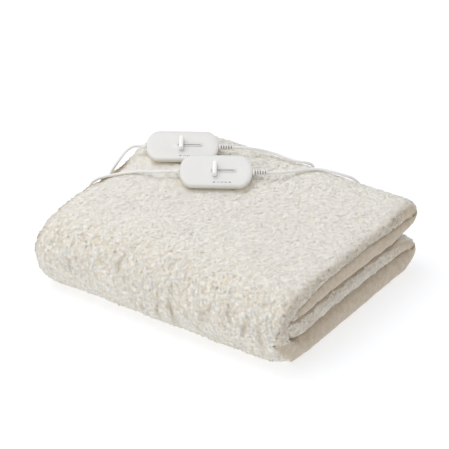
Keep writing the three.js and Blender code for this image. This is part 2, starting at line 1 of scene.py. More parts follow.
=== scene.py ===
import json
import math

import bmesh
import bpy
from bpy.props import FloatProperty, FloatVectorProperty, IntProperty, PointerProperty
from mathutils import Matrix, Vector, noise
from mathutils.bvhtree import BVHTree
from mathutils.kdtree import KDTree

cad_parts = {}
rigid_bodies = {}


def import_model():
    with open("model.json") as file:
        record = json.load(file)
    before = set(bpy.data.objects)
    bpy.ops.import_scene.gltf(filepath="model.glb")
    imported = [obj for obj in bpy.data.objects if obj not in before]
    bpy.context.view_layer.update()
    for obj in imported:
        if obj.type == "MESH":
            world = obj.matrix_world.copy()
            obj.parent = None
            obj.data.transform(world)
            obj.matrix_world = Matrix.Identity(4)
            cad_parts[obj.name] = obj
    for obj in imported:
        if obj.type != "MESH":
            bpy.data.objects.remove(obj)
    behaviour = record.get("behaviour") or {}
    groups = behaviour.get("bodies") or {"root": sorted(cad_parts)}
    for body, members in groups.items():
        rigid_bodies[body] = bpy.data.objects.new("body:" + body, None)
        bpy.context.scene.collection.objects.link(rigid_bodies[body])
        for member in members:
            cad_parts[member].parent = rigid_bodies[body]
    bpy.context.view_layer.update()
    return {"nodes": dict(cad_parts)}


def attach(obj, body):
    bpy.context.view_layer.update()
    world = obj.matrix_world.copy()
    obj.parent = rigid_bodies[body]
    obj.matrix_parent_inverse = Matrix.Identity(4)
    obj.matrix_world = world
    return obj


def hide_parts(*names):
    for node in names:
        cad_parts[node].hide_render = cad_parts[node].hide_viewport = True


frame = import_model()

bl_info = {
    "name": "Folded heated mattress cover",
    "version": (1, 0, 0),
    "blender": (4, 5, 0),
    "location": "View3D > Sidebar > Cover",
    "description": "A fleece heated mattress cover, folded, with two slide controllers and their cords",
    "category": "Object",
}

MM = 0.001
WELD = 0.01 * MM

# Sizes of the hard pieces, in millimetres, with angles in radians and parts of a length as shares
CORD_D = 5
CASE_LENGTH = 120
CASE_WIDTH = 64
CASE_END = 22
CASE_TOP = 5
CASE_BOTTOM = 9
SLOT_START = -7.5
SLOT_END = 29.5
SLOT_WIDTH = 2.4
SLOT_DEPTH = 4
DISH_END = 2.7
KNOB_X = -2
KNOB_THICK = 7.5
KNOB_SPAN = 27
KNOB_ROUND = 1.8
KNOB_STEM = 3
STEM_CLEAR = 0.5
JOIN_GAP = 0.3
PLUG_LENGTH = 36
PLUG_WIDTH = 27
PLUG_THICK = 13.5
PLUG_Z = 7
PLUG_NECK = 0.45
PLUG_NARROWS = (1, 0.55, 0.8)
PLUG_ROUND = 2.6
PIN_SPACING = 18.6
GROMMET_X = -240.3
CASE_RELIEF = {"length": 24, "from": 5.2, "to": 4.4, "ribs": 5}
PLUG_RELIEF = {"length": 20, "from": 5, "to": 3.4, "ribs": 4}
COLLAR = 3.0
COLLAR_ROUND = 0.3
MOUTH_GAP = 0.05
AXIS_WELD = 0.001
SHARP = math.radians(38)
ROUNDED_FROM = math.radians(10)

# Sides of the round pieces; a cord has four, and two more for each step of its bevel
CORD_BEVEL = 2
CORD_SPLITS = 4
CASE_SIDES = 72
KNOB_SIDES = 32
SLEEVE_SIDES = 32
PIN_SIDES = 24
PLUG_BEVEL_SIDES = 5

# Coils, in millimetres and degrees: four turns side by side, and back out on top of them
COIL_RADIUS = 30
COIL_TURNS = 4
COIL_STEP = 15
COIL_TURNED = 7 * 360 + 90
SHIFT = 60
INWARD_SHIFTS = (300, 660, 1020)
CLIMB_START = 1320
OUTWARD_SHIFTS = (1620, 1980, 2340)
COIL_LEAVE = 19.66
TAIL_LENGTH = 24
TAIL_STRAIGHT = 10
TAIL_BEND = 7

# How the shells' rings are drawn in and raised, in millimetres from the parting line
UPPER_PROFILE = (
    {"inset": 0.7, "z": 0.15}, {"inset": 0.5, "z": 0.45}, {"inset": 0.05, "z": 0.7}, {"inset": 0, "z": 1.2},
    {"inset": 0, "z": 2}, {"inset": 0.25, "z": 2.9}, {"inset": 0.8, "z": 3.7}, {"inset": 1.6, "z": 4.35},
    {"inset": 2.8, "z": 4.75}, {"inset": 4.2, "z": 4.95}, {"inset": 5.8, "z": 5},
)
LOWER_PROFILE = (
    {"inset": 0.7, "z": -0.15}, {"inset": 0.5, "z": -0.45}, {"inset": 0.05, "z": -0.7},
    {"inset": 0, "z": -1.1}, {"inset": 0.5, "z": -2.9}, {"inset": 1.9, "z": -5}, {"inset": 4.2, "z": -7.1},
    {"inset": 7.2, "z": -8.4}, {"inset": 10, "z": -9}, {"inset": 12, "z": -9},
)
DISH = (
    {"share": 0.2, "dip": 0}, {"share": 0.38, "dip": 0.02}, {"share": 0.52, "dip": 0.2},
    {"share": 0.66, "dip": 0.45}, {"share": 0.85, "dip": 0.55}, {"share": 1, "dip": 0.55},
)
LIP = (
    {"grow": 2.2, "z": -0.2}, {"grow": 2.1, "z": 0.4}, {"grow": 1.8, "z": 0.7}, {"grow": 1.3, "z": 0.8},
    {"grow": 0.6, "z": 0.8}, {"grow": 0.2, "z": 0.65}, {"grow": 0, "z": 0.3}, {"grow": 0, "z": -4},
)
BLADE = (
    {"inset": 0.9, "z": 1.1}, {"inset": 0.3, "z": 1.35}, {"inset": 0, "z": 2}, {"inset": 0.05, "z": 4.5},
    {"inset": 0.25, "z": 7.6}, {"inset": 0.5, "z": 8.7}, {"inset": 0.9, "z": 9.25}, {"inset": 1.4, "z": 9.6},
)
RIB = ((0.02, 1), (0.36, 1), (0.46, 0.7), (0.52, 0.2), (0.6, 0.01), (0.84, 0.01), (0.92, 0.2), (0.97, 0.7))
RIB_VALLEY = 2.9
# Painted shade in the ribs' grooves: the height over the valley where it fades out, and its tint
GROOVE_FADE = 1.1
GROOVE_SHADE_TINT = (0.42, 0.41, 0.4, 1.0)
INLET_PROFILE = (
    (0, 0), (3.9, 0), (4.2, 0.3), (4.15, 2.5), (4.05, 5.5), (3.9, 7), (3.5, 8.2), (2.9, 8.9), (2.6, 9),
    (0, 9),
)
GROMMET_PROFILE = (
    (0, 0), (8.6, 0), (9, 0.4), (9, 1.6), (8.6, 2), (7, 2.4), (5.9, 3.4), (5.4, 5), (5, 12), (4.3, 17),
    (3.3, 20.3), (2.9, 20.9), (0, 20.9),
)
PIN_PROFILE = ((0, 0), (2, 0), (2, 17.2), (1.7, 18.2), (1.1, 18.8), (0.5, 19), (0, 19))
NUMBERS_U = (-3, 3.6, 10, 16.6, 23)
NUMBERS_V = -24
PRINT_THICK = 0.05
CAP_SHARE = 0.7
CONTROLLERS = (
    {"name": "front", "x": -67.3, "y": 62.5, "z": 138.4, "turn": 33, "tilt": 23.5},
    {"name": "rear", "x": -158.2, "y": 96.8, "z": 140.2, "turn": 33, "tilt": 18},
)

# Cover: how its copy is refined and smoothed, and what counts as shown, with lengths in metres
FIRST_SPLIT = 20 * MM
CLOTH_STEPS = ({"longest": 11 * MM, "passes": 8}, {"longest": 5.5 * MM, "passes": 4})
SPLIT_PASSES = 3
SMOOTHING = 0.5
LAYER_SIGHT = 9 * MM
UNDERSIDE = 1 * MM
FACES_DOWN = -0.8

# Cover: the heights of the gaps between its layers on the sides, and how wide they look, in millimetres
COVER_LENGTH = 482
NOSE_STARTS = -158
SIDE_GAPS = (
    {"y": -170, "one_two": 91, "two_three": 88, "three_four": 44},
    {"y": -140, "one_two": 100, "two_three": 78, "three_four": 43.5},
    {"y": -110, "one_two": 107, "two_three": 76, "three_four": 44.5},
    {"y": -68, "one_two": 111, "two_three": 77, "three_four": 46},
    {"y": 0, "one_two": 112, "two_three": 75.5, "three_four": 46},
    {"y": 60, "one_two": 110, "two_three": 73, "three_four": 45},
    {"y": 135, "one_two": 103.5, "two_three": 69.5, "three_four": 42},
    {"y": 175, "one_two": 99, "two_three": 65, "three_four": 37},
)
GAP_WIDTHS = {"one_two": 2.8, "two_three": 1.8, "three_four": 2.6}

# Cover: where its pile, its painted shade and its curls fade in, from none at the first value to all at the
# second:
# places in millimetres, and parts of the surface's normal for what is named facing
SIDE_FACING = (0.45, 0.7)
SIDE_PLACE = (COVER_LENGTH / 2 - 16, COVER_LENGTH / 2 - 8)
SIDE_PILE_ENDS = (110, 160)
NOSE_PILE = (52, 64)
GAP_PLACE = (COVER_LENGTH / 2 - 26, COVER_LENGTH / 2 - 16)
EDGE_FACING = (0, 0.625)
EDGE_PLACE = (216, 241)
EDGE_BACK = (40, 130)
LOW_HEIGHT = (50, 0)
LOW_FRONT = (-120, -150)
CURL_FACING = (0.2, -0.6)
CURL_FRONT = (-80, -160)
MOVES_FROM = (0, 6)
LOCKS_FROM = (3.5, 6.5)

# Cover: the wavy border of the side's pile, in millimetres; drift is how far it follows X
BORDER_WAVES = ({"rise": 1.2, "reach": 6.3, "drift": 0}, {"rise": 0.9, "reach": 2.9, "drift": 1})

# Cover: the room that its pile leaves under a controller, as shares of the case's outline, and round
# a cord, in millimetres from the cord's middle
CASE_ROOM = (0.88, 1.0)
CASE_REACH = 14
CORD_ROOM = (2.8, 5.2)
CORD_STEPS = 8

# Cover: how steeply a clump falls off, the shares that clumps and the smaller ones on them have in the
# lumps' height, and the slow waves under them, in metres
CLUMP_FALL = 1.35
TALL_SHARE = 0.7
SMALL_SHARE = 0.35
SMALL_SIZE = 0.45
SMALL_SEED = 3
SLOW_HEIGHT = 0.9 * MM
SLOW_SIZE = 45 * MM
SLOW_FRACTAL = {"H": 1.0, "lacunarity": 2.0, "octaves": 3}

# Cover: what is left of the lumps without pile, the least that curls show, what they add to the lumps,
# and how far the top of a clump is paler than the painted shade between clumps
BARE_SHARE = 0.25
CURL_LEAST = 0.25
CURL_LIFT = 0.5
TOP_SHADE = 0.65

# Cover: creases pressed into the front fold, in millimetres; lean is their drift along X for each
# millimetre up, all of them wander a little from side to side, and they take more painted shade the deeper
# they go
CREASE_WANDER = 1.3
CREASE_REACH = 5.1
CREASE_FADE = 25
CREASE_SHADE = 0.75
CREASE_SHADE_AT = 4 * MM
CREASES = (
    {"x": -163, "y": -150, "z": 58, "wide": 3.6, "tall": 13, "deep": 2.4, "lean": -0.3},
    {"x": -71, "y": -150, "z": 95, "wide": 3.2, "tall": 14, "deep": 2.4, "lean": 0.1},
    {"x": 9, "y": -150, "z": 44, "wide": 3.6, "tall": 19, "deep": 3, "lean": 0.1},
    {"x": 36, "y": -150, "z": 52, "wide": 3.8, "tall": 24, "deep": 3.1, "lean": -0.15},
    {"x": -22, "y": -150, "z": 40, "wide": 4, "tall": 13, "deep": 1.8, "lean": 0.2},
    {"x": 98, "y": -150, "z": 70, "wide": 4.6, "tall": 16, "deep": 1.8, "lean": 0.5},
    {"x": 140, "y": -150, "z": 84, "wide": 4, "tall": 15, "deep": 2, "lean": -0.4},
    {"x": 172, "y": -150, "z": 66, "wide": 4.2, "tall": 20, "deep": 2.2, "lean": 0.3},
    {"x": 203, "y": -150, "z": 62, "wide": 4, "tall": 18, "deep": 2.2, "lean": -0.2},
)

# Fleece: its painted shade, darker and warmer between its clumps and at the roots of its locks (the same
# shares tint its specks), between its curls and down in its gaps; how far a lock is shaded like the cloth
# that it stands on; and how far the pile of the sides and of the lower front takes on the hems' colour as
# painted shade
SHADE_AND_SPECK_SHARES = (0.965, 0.94, 0.885)
CURL_SHADE_TINT = (0.85, 0.79, 0.68, 1.0)
CURL_SIZE = 13 * MM
CURL_WANDER = {"scale": 1.6, "detail": 2.0, "reach": 1.3}
CURL_LINE = 0.13
CREVICE_SHADE_TINT = (0.36, 0.3, 0.2, 1.0)
TUFT_TINT = (0.88, 0.87, 0.85)
FELT_SHARES = (0.84, 1.05)
BLOTCH_SHARE = 0.97
SPECK_MIX = 0.6
SOFTNESS = 0.9
SIDE_SHADE_TINT = 0.75
LOW_SHADE_TINT = 0.25
WHITE = (1.0, 1.0, 1.0)

# Noise in the finishes: the size of its blotches in metres, its detail and roughness where they aren't
# those of plain noise, and the stretch of the noise over which one colour turns into the other
PLAIN_NOISE = {"detail": 3.0, "roughness": 0.55}
NOISES = {
    "blotches": {"size": 30 * MM, "stretch": (0.3, 0.7)},
    "specks": {"size": 4 * MM, "detail": 2.0, "stretch": (0.56, 0.72)},
    "fuzz": {"size": 1.6 * MM, "detail": 4.0, "roughness": 0.65, "stretch": (0.3, 0.7)},
    "tufts": {"size": 9 * MM, "detail": 2.0, "stretch": (0.35, 0.6)},
    "flow": {"size": 50 * MM, "detail": 2.0, "stretch": (0.3, 0.7)},
    "wear": {"size": 6 * MM},
    "tint": {"size": 12 * MM, "stretch": (0.3, 0.7)},
    "scratches": {
        "size": (25 / 3 * MM, 0.4 * MM, 0.4 * MM), "detail": 2.0, "roughness": 0.5, "stretch": (0.3, 0.7),
    },
    "ink": {"size": 0.8 * MM, "stretch": (0.35, 0.75)},
    "fibres": {"size": 1.4 * MM, "roughness": 0.7},
    "grain": {"size": 1.6 * MM, "detail": 2.0},
    "drag": {"size": 0.7 * MM},
}

# The mix node's sockets for each kind of data: the factor, what is mixed and the result
MIX_SOCKETS = {"RGBA": (0, 6, 7, 2), "VECTOR": (0, 4, 5, 1)}

# Surfaces: the constant values of each finish, and the depth in metres and strength of its bumps
FLEECE_SURFACE = {
    "Roughness": 0.95, "Sheen Weight": 0.2, "Sheen Roughness": 0.5, "Specular IOR Level": 0.1,
    "Subsurface Weight": 0.5, "Subsurface Radius": (1.0, 0.9, 0.75), "Subsurface Scale": 3 * MM,
}
FIBRE_BUMP = {"depth": 0.2 * MM, "strength": 0.4}
PLASTIC_SURFACE = {
    "Coat Weight": 0.12, "Coat Roughness": 0.08, "Subsurface Weight": 0.05, "Subsurface Scale": 1.5 * MM,
}
PLASTICS = {
    "case": {"roughness": 0.24, "bump": {"depth": 0.015 * MM, "strength": 0.5}},
    "base": {"roughness": 0.3, "bump": {"depth": 0.015 * MM, "strength": 0.5}},
    "knob": {"roughness": 0.35, "bump": {"depth": 0.02 * MM, "strength": 0.5}},
}
GLOSS_WEAR = (0.9, 1.12)
FLOW_SHARE = 0.975
SHEATH_SURFACE = {"Roughness": 0.42, "Subsurface Weight": 0.08, "Subsurface Scale": 1.0 * MM}
SHEATH_SHARE = 0.94
DRAG_BUMP = {"depth": 0.05 * MM, "strength": 0.6}
PIN_SURFACE = {"Metallic": 1.0, "Roughness": 0.28}
PIN_COLOURS = ((0.55, 0.54, 0.5), (0.75, 0.74, 0.7))
SCRATCH_BUMP = {"depth": 0.02 * MM, "strength": 0.4}
INK_ROUGHNESS = 0.55
INK_WORN = 2.2

# Locks of pile, in millimetres and degrees
REGIONS = ("top_left", "top_right", "front", "back", "sides")
TOP_NORMAL = 0.75
SIDE_NORMAL = 0.6
LOCKS = (
    {"thick": 2.2, "radius": 1.5, "turn": 120, "twist": 8, "sunk": 2.1},
    {"thick": 2.0, "radius": 1.8, "turn": 110, "twist": -12, "sunk": 2.0},
    {"thick": 2.5, "radius": 1.3, "turn": 130, "twist": 15, "sunk": 2.3},
    {"thick": 1.9, "radius": 2.1, "turn": 100, "twist": -6, "sunk": 2.0},
)
LOCK_RINGS = 3
LOCK_TAPER = (1.1, 0.95, 0.5)
LOCK_SIDES = 4
LOCK_DENSITY = 200000
LOCK_SCALES = (0.75, 1.2)
LOCK_TILT = 0.6
LOCK_LEAST = 0.3

# Stage: metres and watts, and in millimetres the point that the camera aims at and how far it looks
# past that point
FLOOR_SIZE = 30
FLOOR_SURFACE = {
    "Base Color": (0.5, 0.52, 0.54, 1.0), "Roughness": 0.9, "Specular IOR Level": 0.1,
    "Emission Color": (1.0, 1.0, 1.0, 1.0), "Emission Strength": 0.58,
}
SKY = {"Color": (1.0, 1.0, 1.0, 1.0), "Strength": 0.68}
LAMPS = (
    {"name": "key_light", "at": (-1.3, -0.2, 3.2), "size": 3.2, "energy": 42, "colour": (1, 1, 1)},
    {"name": "front_light", "at": (-1.2, -3.0, 2.2), "size": 2.4, "energy": 14, "colour": (1, 1, 1)},
)
CAMERA_TARGET = (0, 0, 60.4)
FRAMED = {"right": -6.2, "up": 27.4}
SENSOR_WIDTH = 36
CLIP_END = 60

# The cords' routes, in millimetres: the leads run from a controller's left end to the cover's hem,
# the mains cords from its right end over the back edge to the floor, where the coils begin
FRONT_LEAD = (
    (-125.69, 24.58, 138.4), (-134.07, 19.14, 138.4), (-143.3, 13.3, 137.6), (-154.4, 10.9, 135.1),
    (-167.5, 10.6, 131.3), (-182.6, 9.2, 127.5), (-196.6, 3, 123.9), (-208, -4, 121.6), (-219, -13.5, 119.4),
    (-229.5, -24.5, 117.8), (-240.4, -36.5, 113.4), (-247.4, -44, 101), (-248.2, -48, 85),
    (-247.5, -50.5, 66), (-247, -51.5, 44), (-249.5, -49, 25), (-259, -42.5, 11.5), (-273, -29.5, 4.5),
    (-287, -9, 3), (-294.5, 14, 3), (-296, 40, 3), (-296, 62, 3.2), (-295, 78, 4.6), (-293.5, 91, 8),
    (-290.3, 103, 12.6), (-281.5, 111.8, 17.6), (-270, 115, 19.8), (-261.5, 115, 19.8),
)
REAR_LEAD = (
    (-216.59, 58.88, 140.2), (-224.97, 53.44, 140.2), (-230.1, 46.1, 137.9), (-233.8, 37.8, 132.8),
    (-236.5, 30, 125.7), (-239.7, 22.6, 117.4), (-243, 15.5, 108), (-246, 10.5, 96), (-246.5, 4, 80),
    (-246, -2, 62), (-246.5, -4.5, 43), (-250.5, -3, 26), (-258, 2.5, 12.5), (-269, 13, 5), (-279.5, 27, 3),
    (-285, 40, 4.2), (-286, 50, 7.6), (-283.3, 60, 12.6), (-276, 67.3, 17.6), (-267, 70, 19.5),
    (-261.5, 70, 19.5),
)
FRONT_MAINS = (
    (3.67, 108.59, 138.4), (12.06, 114.03, 138.4), (18.7, 122.3, 136.6), (24.9, 135.6, 133.6),
    (32.2, 151.4, 130.2), (41.7, 167.4, 128.2), (54, 180.5, 127), (69, 187, 126), (84.8, 190.5, 125.2),
    (97, 195.5, 122.2), (107, 204, 116), (114.5, 212.5, 104.5), (119, 218, 88), (121.5, 219, 68),
    (123.5, 219, 48), (125, 219.3, 30), (125, 223, 15), (125, 231, 6.2), (125, 240.5, 3.2), (125, 248, 3),
)
REAR_MAINS = (
    (-87.23, 142.89, 140.2), (-78.84, 148.33, 140.2), (-68.2, 156.9, 138.3), (-53.9, 169.7, 133.7),
    (-38.7, 179.4, 129.2), (-22.4, 184.5, 126.2), (-6, 185.5, 124.8), (8, 187.5, 123.8), (19.5, 194, 122.2),
    (25.5, 206.5, 114), (23.5, 216.5, 99), (15, 221, 80), (2, 221, 60), (-14, 220.5, 42), (-28, 221, 27),
    (-38, 224.5, 15), (-43.3, 231.5, 6.6), (-45, 240.5, 3.2), (-45, 248, 3),
)
CORDS = (
    {"name": "front", "lead": FRONT_LEAD, "mains": FRONT_MAINS, "coil": (87.5, 267.8)},
    {"name": "rear", "lead": REAR_LEAD, "mains": REAR_MAINS, "coil": (-82.5, 267.8)},
)


# Sizes and colours that a user would change

class CoverLooks(bpy.types.PropertyGroup):
    clump: FloatProperty(
        name="Clump size", description="Distance between the clumps of the pile",
        default=10 * MM, unit="LENGTH",
    )
    clump_height: FloatProperty(
        name="Clump height", description="How far a clump stands over the cloth",
        default=2.2 * MM, unit="LENGTH",
    )
    lock_spacing: FloatProperty(
        name="Lock spacing", description="Least distance between two locks of the pile",
        default=2.8 * MM, unit="LENGTH",
    )
    pile_colour: FloatVectorProperty(
        name="Pile colour", description="Colour of the fleece's pile", subtype="COLOR", size=3,
        default=(0.97, 0.935, 0.88),
    )
    hem_colour: FloatVectorProperty(
        name="Hem colour", description="Colour of the smooth hem", subtype="COLOR", size=3,
        default=(0.58, 0.495, 0.395),
    )
    seed: IntProperty(name="Seed", description="Seed of the pile's arrangement", default=7)


class ControllerLooks(bpy.types.PropertyGroup):
    case_colour: FloatVectorProperty(
        name="Case colour", description="Colour of the controllers' shells", subtype="COLOR", size=3,
        default=(0.765, 0.76, 0.745),
    )
    base_colour: FloatVectorProperty(
        name="Base colour", description="Colour of the lower shells, a little creamier", subtype="COLOR",
        size=3, default=(0.74, 0.7, 0.59),
    )
    knob_colour: FloatVectorProperty(
        name="Knob colour", description="Colour of the slide knobs", subtype="COLOR", size=3,
        default=(0.95, 0.95, 0.945),
    )
    mark_colour: FloatVectorProperty(
        name="Mark colour", description="Colour of the printed heat numbers", subtype="COLOR", size=3,
        default=(0.045, 0.045, 0.055),
    )
    number_height: FloatProperty(
        name="Number height", description="Height of the printed heat numbers",
        default=4.2 * MM, unit="LENGTH",
    )


class CordLooks(bpy.types.PropertyGroup):
    diameter: FloatProperty(
        name="Diameter", description="Diameter of the leads and the mains cords",
        default=CORD_D * MM, unit="LENGTH",
    )
    colour: FloatVectorProperty(
        name="Colour", description="Colour of the cords' sheath", subtype="COLOR", size=3,
        default=(0.9, 0.895, 0.885),
    )


class StageSettings(bpy.types.PropertyGroup):
    azimuth: FloatProperty(
        name="Azimuth", description="Turn of the camera about the cover", default=math.radians(34.47),
        subtype="ANGLE",
    )
    elevation: FloatProperty(
        name="Elevation", description="Height of the camera over the horizon",
        default=math.radians(31.33), subtype="ANGLE",
    )
    distance: FloatProperty(
        name="Distance", description="From the camera to the middle of the cover", default=4.615,
        unit="LENGTH",
    )
    lens: FloatProperty(
        name="Lens", description="Focal length of the camera, in millimetres", default=228.3,
    )


# Nodes and materials

def feed(tree, value, socket):
    """Links another node's output to a socket, or sets the socket to a plain value."""
    if isinstance(value, bpy.types.NodeSocket):
        tree.links.new(value, socket)
    else:
        socket.default_value = value


def add_node(tree, kind, settings=None, **inputs):
    """A node with its settings, and its inputs by name with _ for each space."""
    node = tree.nodes.new(kind)
    for key, value in (settings or {}).items():
        setattr(node, key, value)
    for key, value in inputs.items():
        feed(tree, value, node.inputs[key.replace("_", " ")])
    return node


class Shader:
    """A node material, with a short call for each kind of node that the finishes need."""

    def __init__(self, name):
        self.material = bpy.data.materials.new(name)
        self.material.use_nodes = True
        self.tree = self.material.node_tree
        self.surface = self.tree.nodes["Principled BSDF"]

    def add(self, kind, settings=None, **inputs):
        return add_node(self.tree, kind, settings, **inputs)

    def set(self, values):
        for name, value in values.items():
            feed(self.tree, value, self.surface.inputs[name])

    def compute(self, kind, operation, *values):
        """A math node that is fed with the values in order."""
        node = self.add(kind, {"operation": operation})
        for value, socket in zip(values, node.inputs):
            feed(self.tree, value, socket)
        return node.outputs[0]

    def place(self, size):
        """Object coordinates in steps of size, which is one length or one for each axis."""
        steps = size if isinstance(size, tuple) else (size,) * 3
        coordinates = self.add("ShaderNodeTexCoord").outputs["Object"]
        scale = tuple(1 / step for step in steps)
        return self.add("ShaderNodeMapping", Vector=coordinates, Scale=scale).outputs["Vector"]

    def noise(self, name):
        """The noise of this name, as a factor."""
        kind = {**PLAIN_NOISE, **NOISES[name]}
        return self.add(
            "ShaderNodeTexNoise", Vector=self.place(kind["size"]), Scale=1.0, Detail=kind["detail"],
            Roughness=kind["roughness"],
        ).outputs[0]

    def ramp(self, factor, name, low, high):
        """A colour between low and high over the stretch of the noise of this name."""
        node = self.add("ShaderNodeValToRGB", Fac=factor)
        for element, position, colour in zip(node.color_ramp.elements, NOISES[name]["stretch"], (low, high)):
            element.position = position
            element.color = (*colour, 1.0)
        return node.outputs["Color"]

    def pattern(self, name, low, high):
        return self.ramp(self.noise(name), name, low, high)

    def mix(self, factor, first, second, blend="MIX", kind="RGBA"):
        node = self.add("ShaderNodeMix", {"data_type": kind, "blend_type": blend})
        *sockets, result = MIX_SOCKETS[kind]
        for index, value in zip(sockets, (factor, first, second)):
            feed(self.tree, value, node.inputs[index])
        return node.outputs[result]

    def shade_lines(self, size):
        """Thin wandering lines between cells about size metres across: 1 in the lines and 0 off them."""
        place = self.place(size)
        wander = self.add(
            "ShaderNodeTexNoise", Vector=place, Scale=CURL_WANDER["scale"], Detail=CURL_WANDER["detail"],
        ).outputs[1]
        reach = (CURL_WANDER["reach"],) * 3
        drift = self.compute("ShaderNodeVectorMath", "MULTIPLY_ADD", wander, reach, place)
        cells = self.add("ShaderNodeTexVoronoi", {"feature": "DISTANCE_TO_EDGE"}, Vector=drift, Scale=1.0)
        return self.add(
            "ShaderNodeMapRange", Value=cells.outputs["Distance"], From_Min=0.0, From_Max=CURL_LINE,
            To_Min=1.0, To_Max=0.0,
        ).outputs["Result"]

    def attribute(self, name, output="Fac"):
        return self.add("ShaderNodeAttribute", {"attribute_name": name}).outputs[output]

    def lock_normal(self):
        """A lock's normal, drawn towards that of the cloth that it stands on."""
        own = self.add("ShaderNodeNewGeometry").outputs["Normal"]
        drawn = self.mix(SOFTNESS, own, self.attribute("lie", "Vector"), kind="VECTOR")
        return self.compute("ShaderNodeVectorMath", "NORMALIZE", drawn)

    def bump(self, height, size, **inputs):
        node = self.add(
            "ShaderNodeBump", Height=height, Distance=size["depth"], Strength=size["strength"], **inputs,
        )
        self.set({"Normal": node.outputs["Normal"]})


def shade(colour, factor):
    return tuple(channel * factor for channel in colour)


def fleece_finish(name, looks, locks):
    """Long curly pile: soft and matt, with painted shade a little darker and warmer down between the clumps.
    """
    shader = Shader(name)
    shaded_pile = (*(channel * share for channel, share in zip(looks.pile_colour, SHADE_AND_SPECK_SHARES)), 1.0)
    blotches = shader.pattern("blotches", shade(looks.pile_colour, BLOTCH_SHARE), looks.pile_colour)
    # Painted shade: the pile is darker and warmer down between the clumps, paler on their tops
    colour = shader.mix(shader.attribute("clump"), shaded_pile, blotches)
    specks = shader.pattern("specks", WHITE, SHADE_AND_SPECK_SHARES)
    colour = shader.mix(SPECK_MIX, colour, specks, "MULTIPLY")
    # Painted shade in thin lines between the curls, mostly on the front fold
    shade_lines = shader.shade_lines(CURL_SIZE)
    curls = shader.compute("ShaderNodeMath", "MULTIPLY", shade_lines, shader.attribute("curl"))
    colour = shader.mix(curls, colour, CURL_SHADE_TINT, "MULTIPLY")
    # Painted shade: the pile of the sides and of the low front takes on the hems' colour
    colour = shader.mix(shader.attribute("edge"), colour, (*looks.hem_colour, 1.0))
    if locks:
        # Painted shade: darker and warmer towards the roots of the locks
        colour = shader.mix(shader.attribute("depth"), shaded_pile, colour)
        bent = {"Normal": shader.lock_normal()}
    else:
        low, high = (shade(looks.hem_colour, share) for share in FELT_SHARES)
        tufts = shader.pattern("tufts", TUFT_TINT, WHITE)
        felt = shader.mix(1.0, shader.pattern("fuzz", low, high), tufts, "MULTIPLY")
        colour = shader.mix(shader.attribute("pile"), felt, colour)
        bent = {}
    # Painted shade down in the gaps between the layers and in the creases
    colour = shader.mix(shader.attribute("crevice"), colour, CREVICE_SHADE_TINT, "MULTIPLY")
    shader.set({"Base Color": colour, **FLEECE_SURFACE})
    shader.bump(shader.noise("fibres"), FIBRE_BUMP, **bent)
    return shader.material


def plastic_finish(name, colour, kind):
    """Moulded plastic: even colour, faint flow lines and a slight unevenness of the gloss."""
    shader = Shader(name)
    least, most = (kind["roughness"] * share for share in GLOSS_WEAR)
    gloss = shader.add("ShaderNodeMapRange", Value=shader.noise("wear"), To_Min=least, To_Max=most)
    shader.set({
        "Base Color": shader.pattern("flow", shade(colour, FLOW_SHARE), colour),
        "Roughness": gloss.outputs["Result"], **PLASTIC_SURFACE,
    })
    shader.bump(shader.noise("grain"), kind["bump"])
    return shader.material


def sheath_finish(name, colour):
    """The cords' and reliefs' flexible sheath: a soft sheen, and painted shade in the grooves between ribs.
    """
    shader = Shader(name)
    even = shader.pattern("tint", shade(colour, SHEATH_SHARE), colour)
    # Painted shade in the grooves between the ribs
    grooved = shader.mix(shader.attribute("groove"), even, GROOVE_SHADE_TINT, "MULTIPLY")
    shader.set({"Base Color": grooved, **SHEATH_SURFACE})
    shader.bump(shader.noise("drag"), DRAG_BUMP)
    return shader.material


def metal_finish(name):
    """Plated pins with fine scratches from use."""
    shader = Shader(name)
    scratches = shader.noise("scratches")
    shader.set({"Base Color": shader.ramp(scratches, "scratches", *PIN_COLOURS), **PIN_SURFACE})
    shader.bump(scratches, SCRATCH_BUMP)
    return shader.material


def print_finish(name, colour):
    """Printed numbers: dark ink, matt, slightly uneven."""
    shader = Shader(name)
    ink = shader.pattern("ink", colour, shade(colour, INK_WORN))
    shader.set({"Base Color": ink, "Roughness": INK_ROUGHNESS})
    return shader.material


def stock(name, make, *given):
    """A material by name, made the first time that it is asked for."""
    return bpy.data.materials.get(name) or make(name, *given)


def plastic(part):
    """The finish of the controllers' case, base or knob."""
    colour = tuple(getattr(bpy.context.scene.controller_looks, f"{part}_colour"))
    return stock(f"{part}_plastic", plastic_finish, colour, PLASTICS[part])


def sheath():
    return stock("cord_sheath", sheath_finish, tuple(bpy.context.scene.cord_looks.colour))


# Objects and meshes

def add_object(name, data):
    """A mesh, curve, text, lamp or camera as an object in the scene."""
    item = bpy.data.objects.new(name, data)
    bpy.context.scene.collection.objects.link(item)
    return item


def mesh_of(item):
    """The mesh that an object's text or nodes build."""
    bpy.context.view_layer.update()
    depsgraph = bpy.context.evaluated_depsgraph_get()
    return bpy.data.meshes.new_from_object(item.evaluated_get(depsgraph), depsgraph=depsgraph)


def new_piece(name, mesh, material, body, nodes=()):
    """A mesh or curve as a piece: with its finish, on its body, in place of the nodes it stands for."""
    mesh.name = name
    mesh.materials.append(material)
    piece = add_object(name, mesh)
    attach(piece, body)
    if nodes:
        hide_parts(*nodes)
    return piece


def to_mesh(bm, place=Matrix.Identity(4)):
    """Scales a bmesh drawn in millimetres to metres, puts it in place and writes it, shaded smooth."""
    bmesh.ops.transform(bm, matrix=place @ Matrix.Scale(MM, 4), verts=bm.verts)
    bmesh.ops.recalc_face_normals(bm, faces=bm.faces)
    return finished(bm)


def finished(bm):
    """Writes a bmesh to a mesh of its own, shaded smooth."""
    mesh = bpy.data.meshes.new("mesh")
    bm.to_mesh(mesh)
    bm.free()
    mesh.shade_smooth()
    return mesh


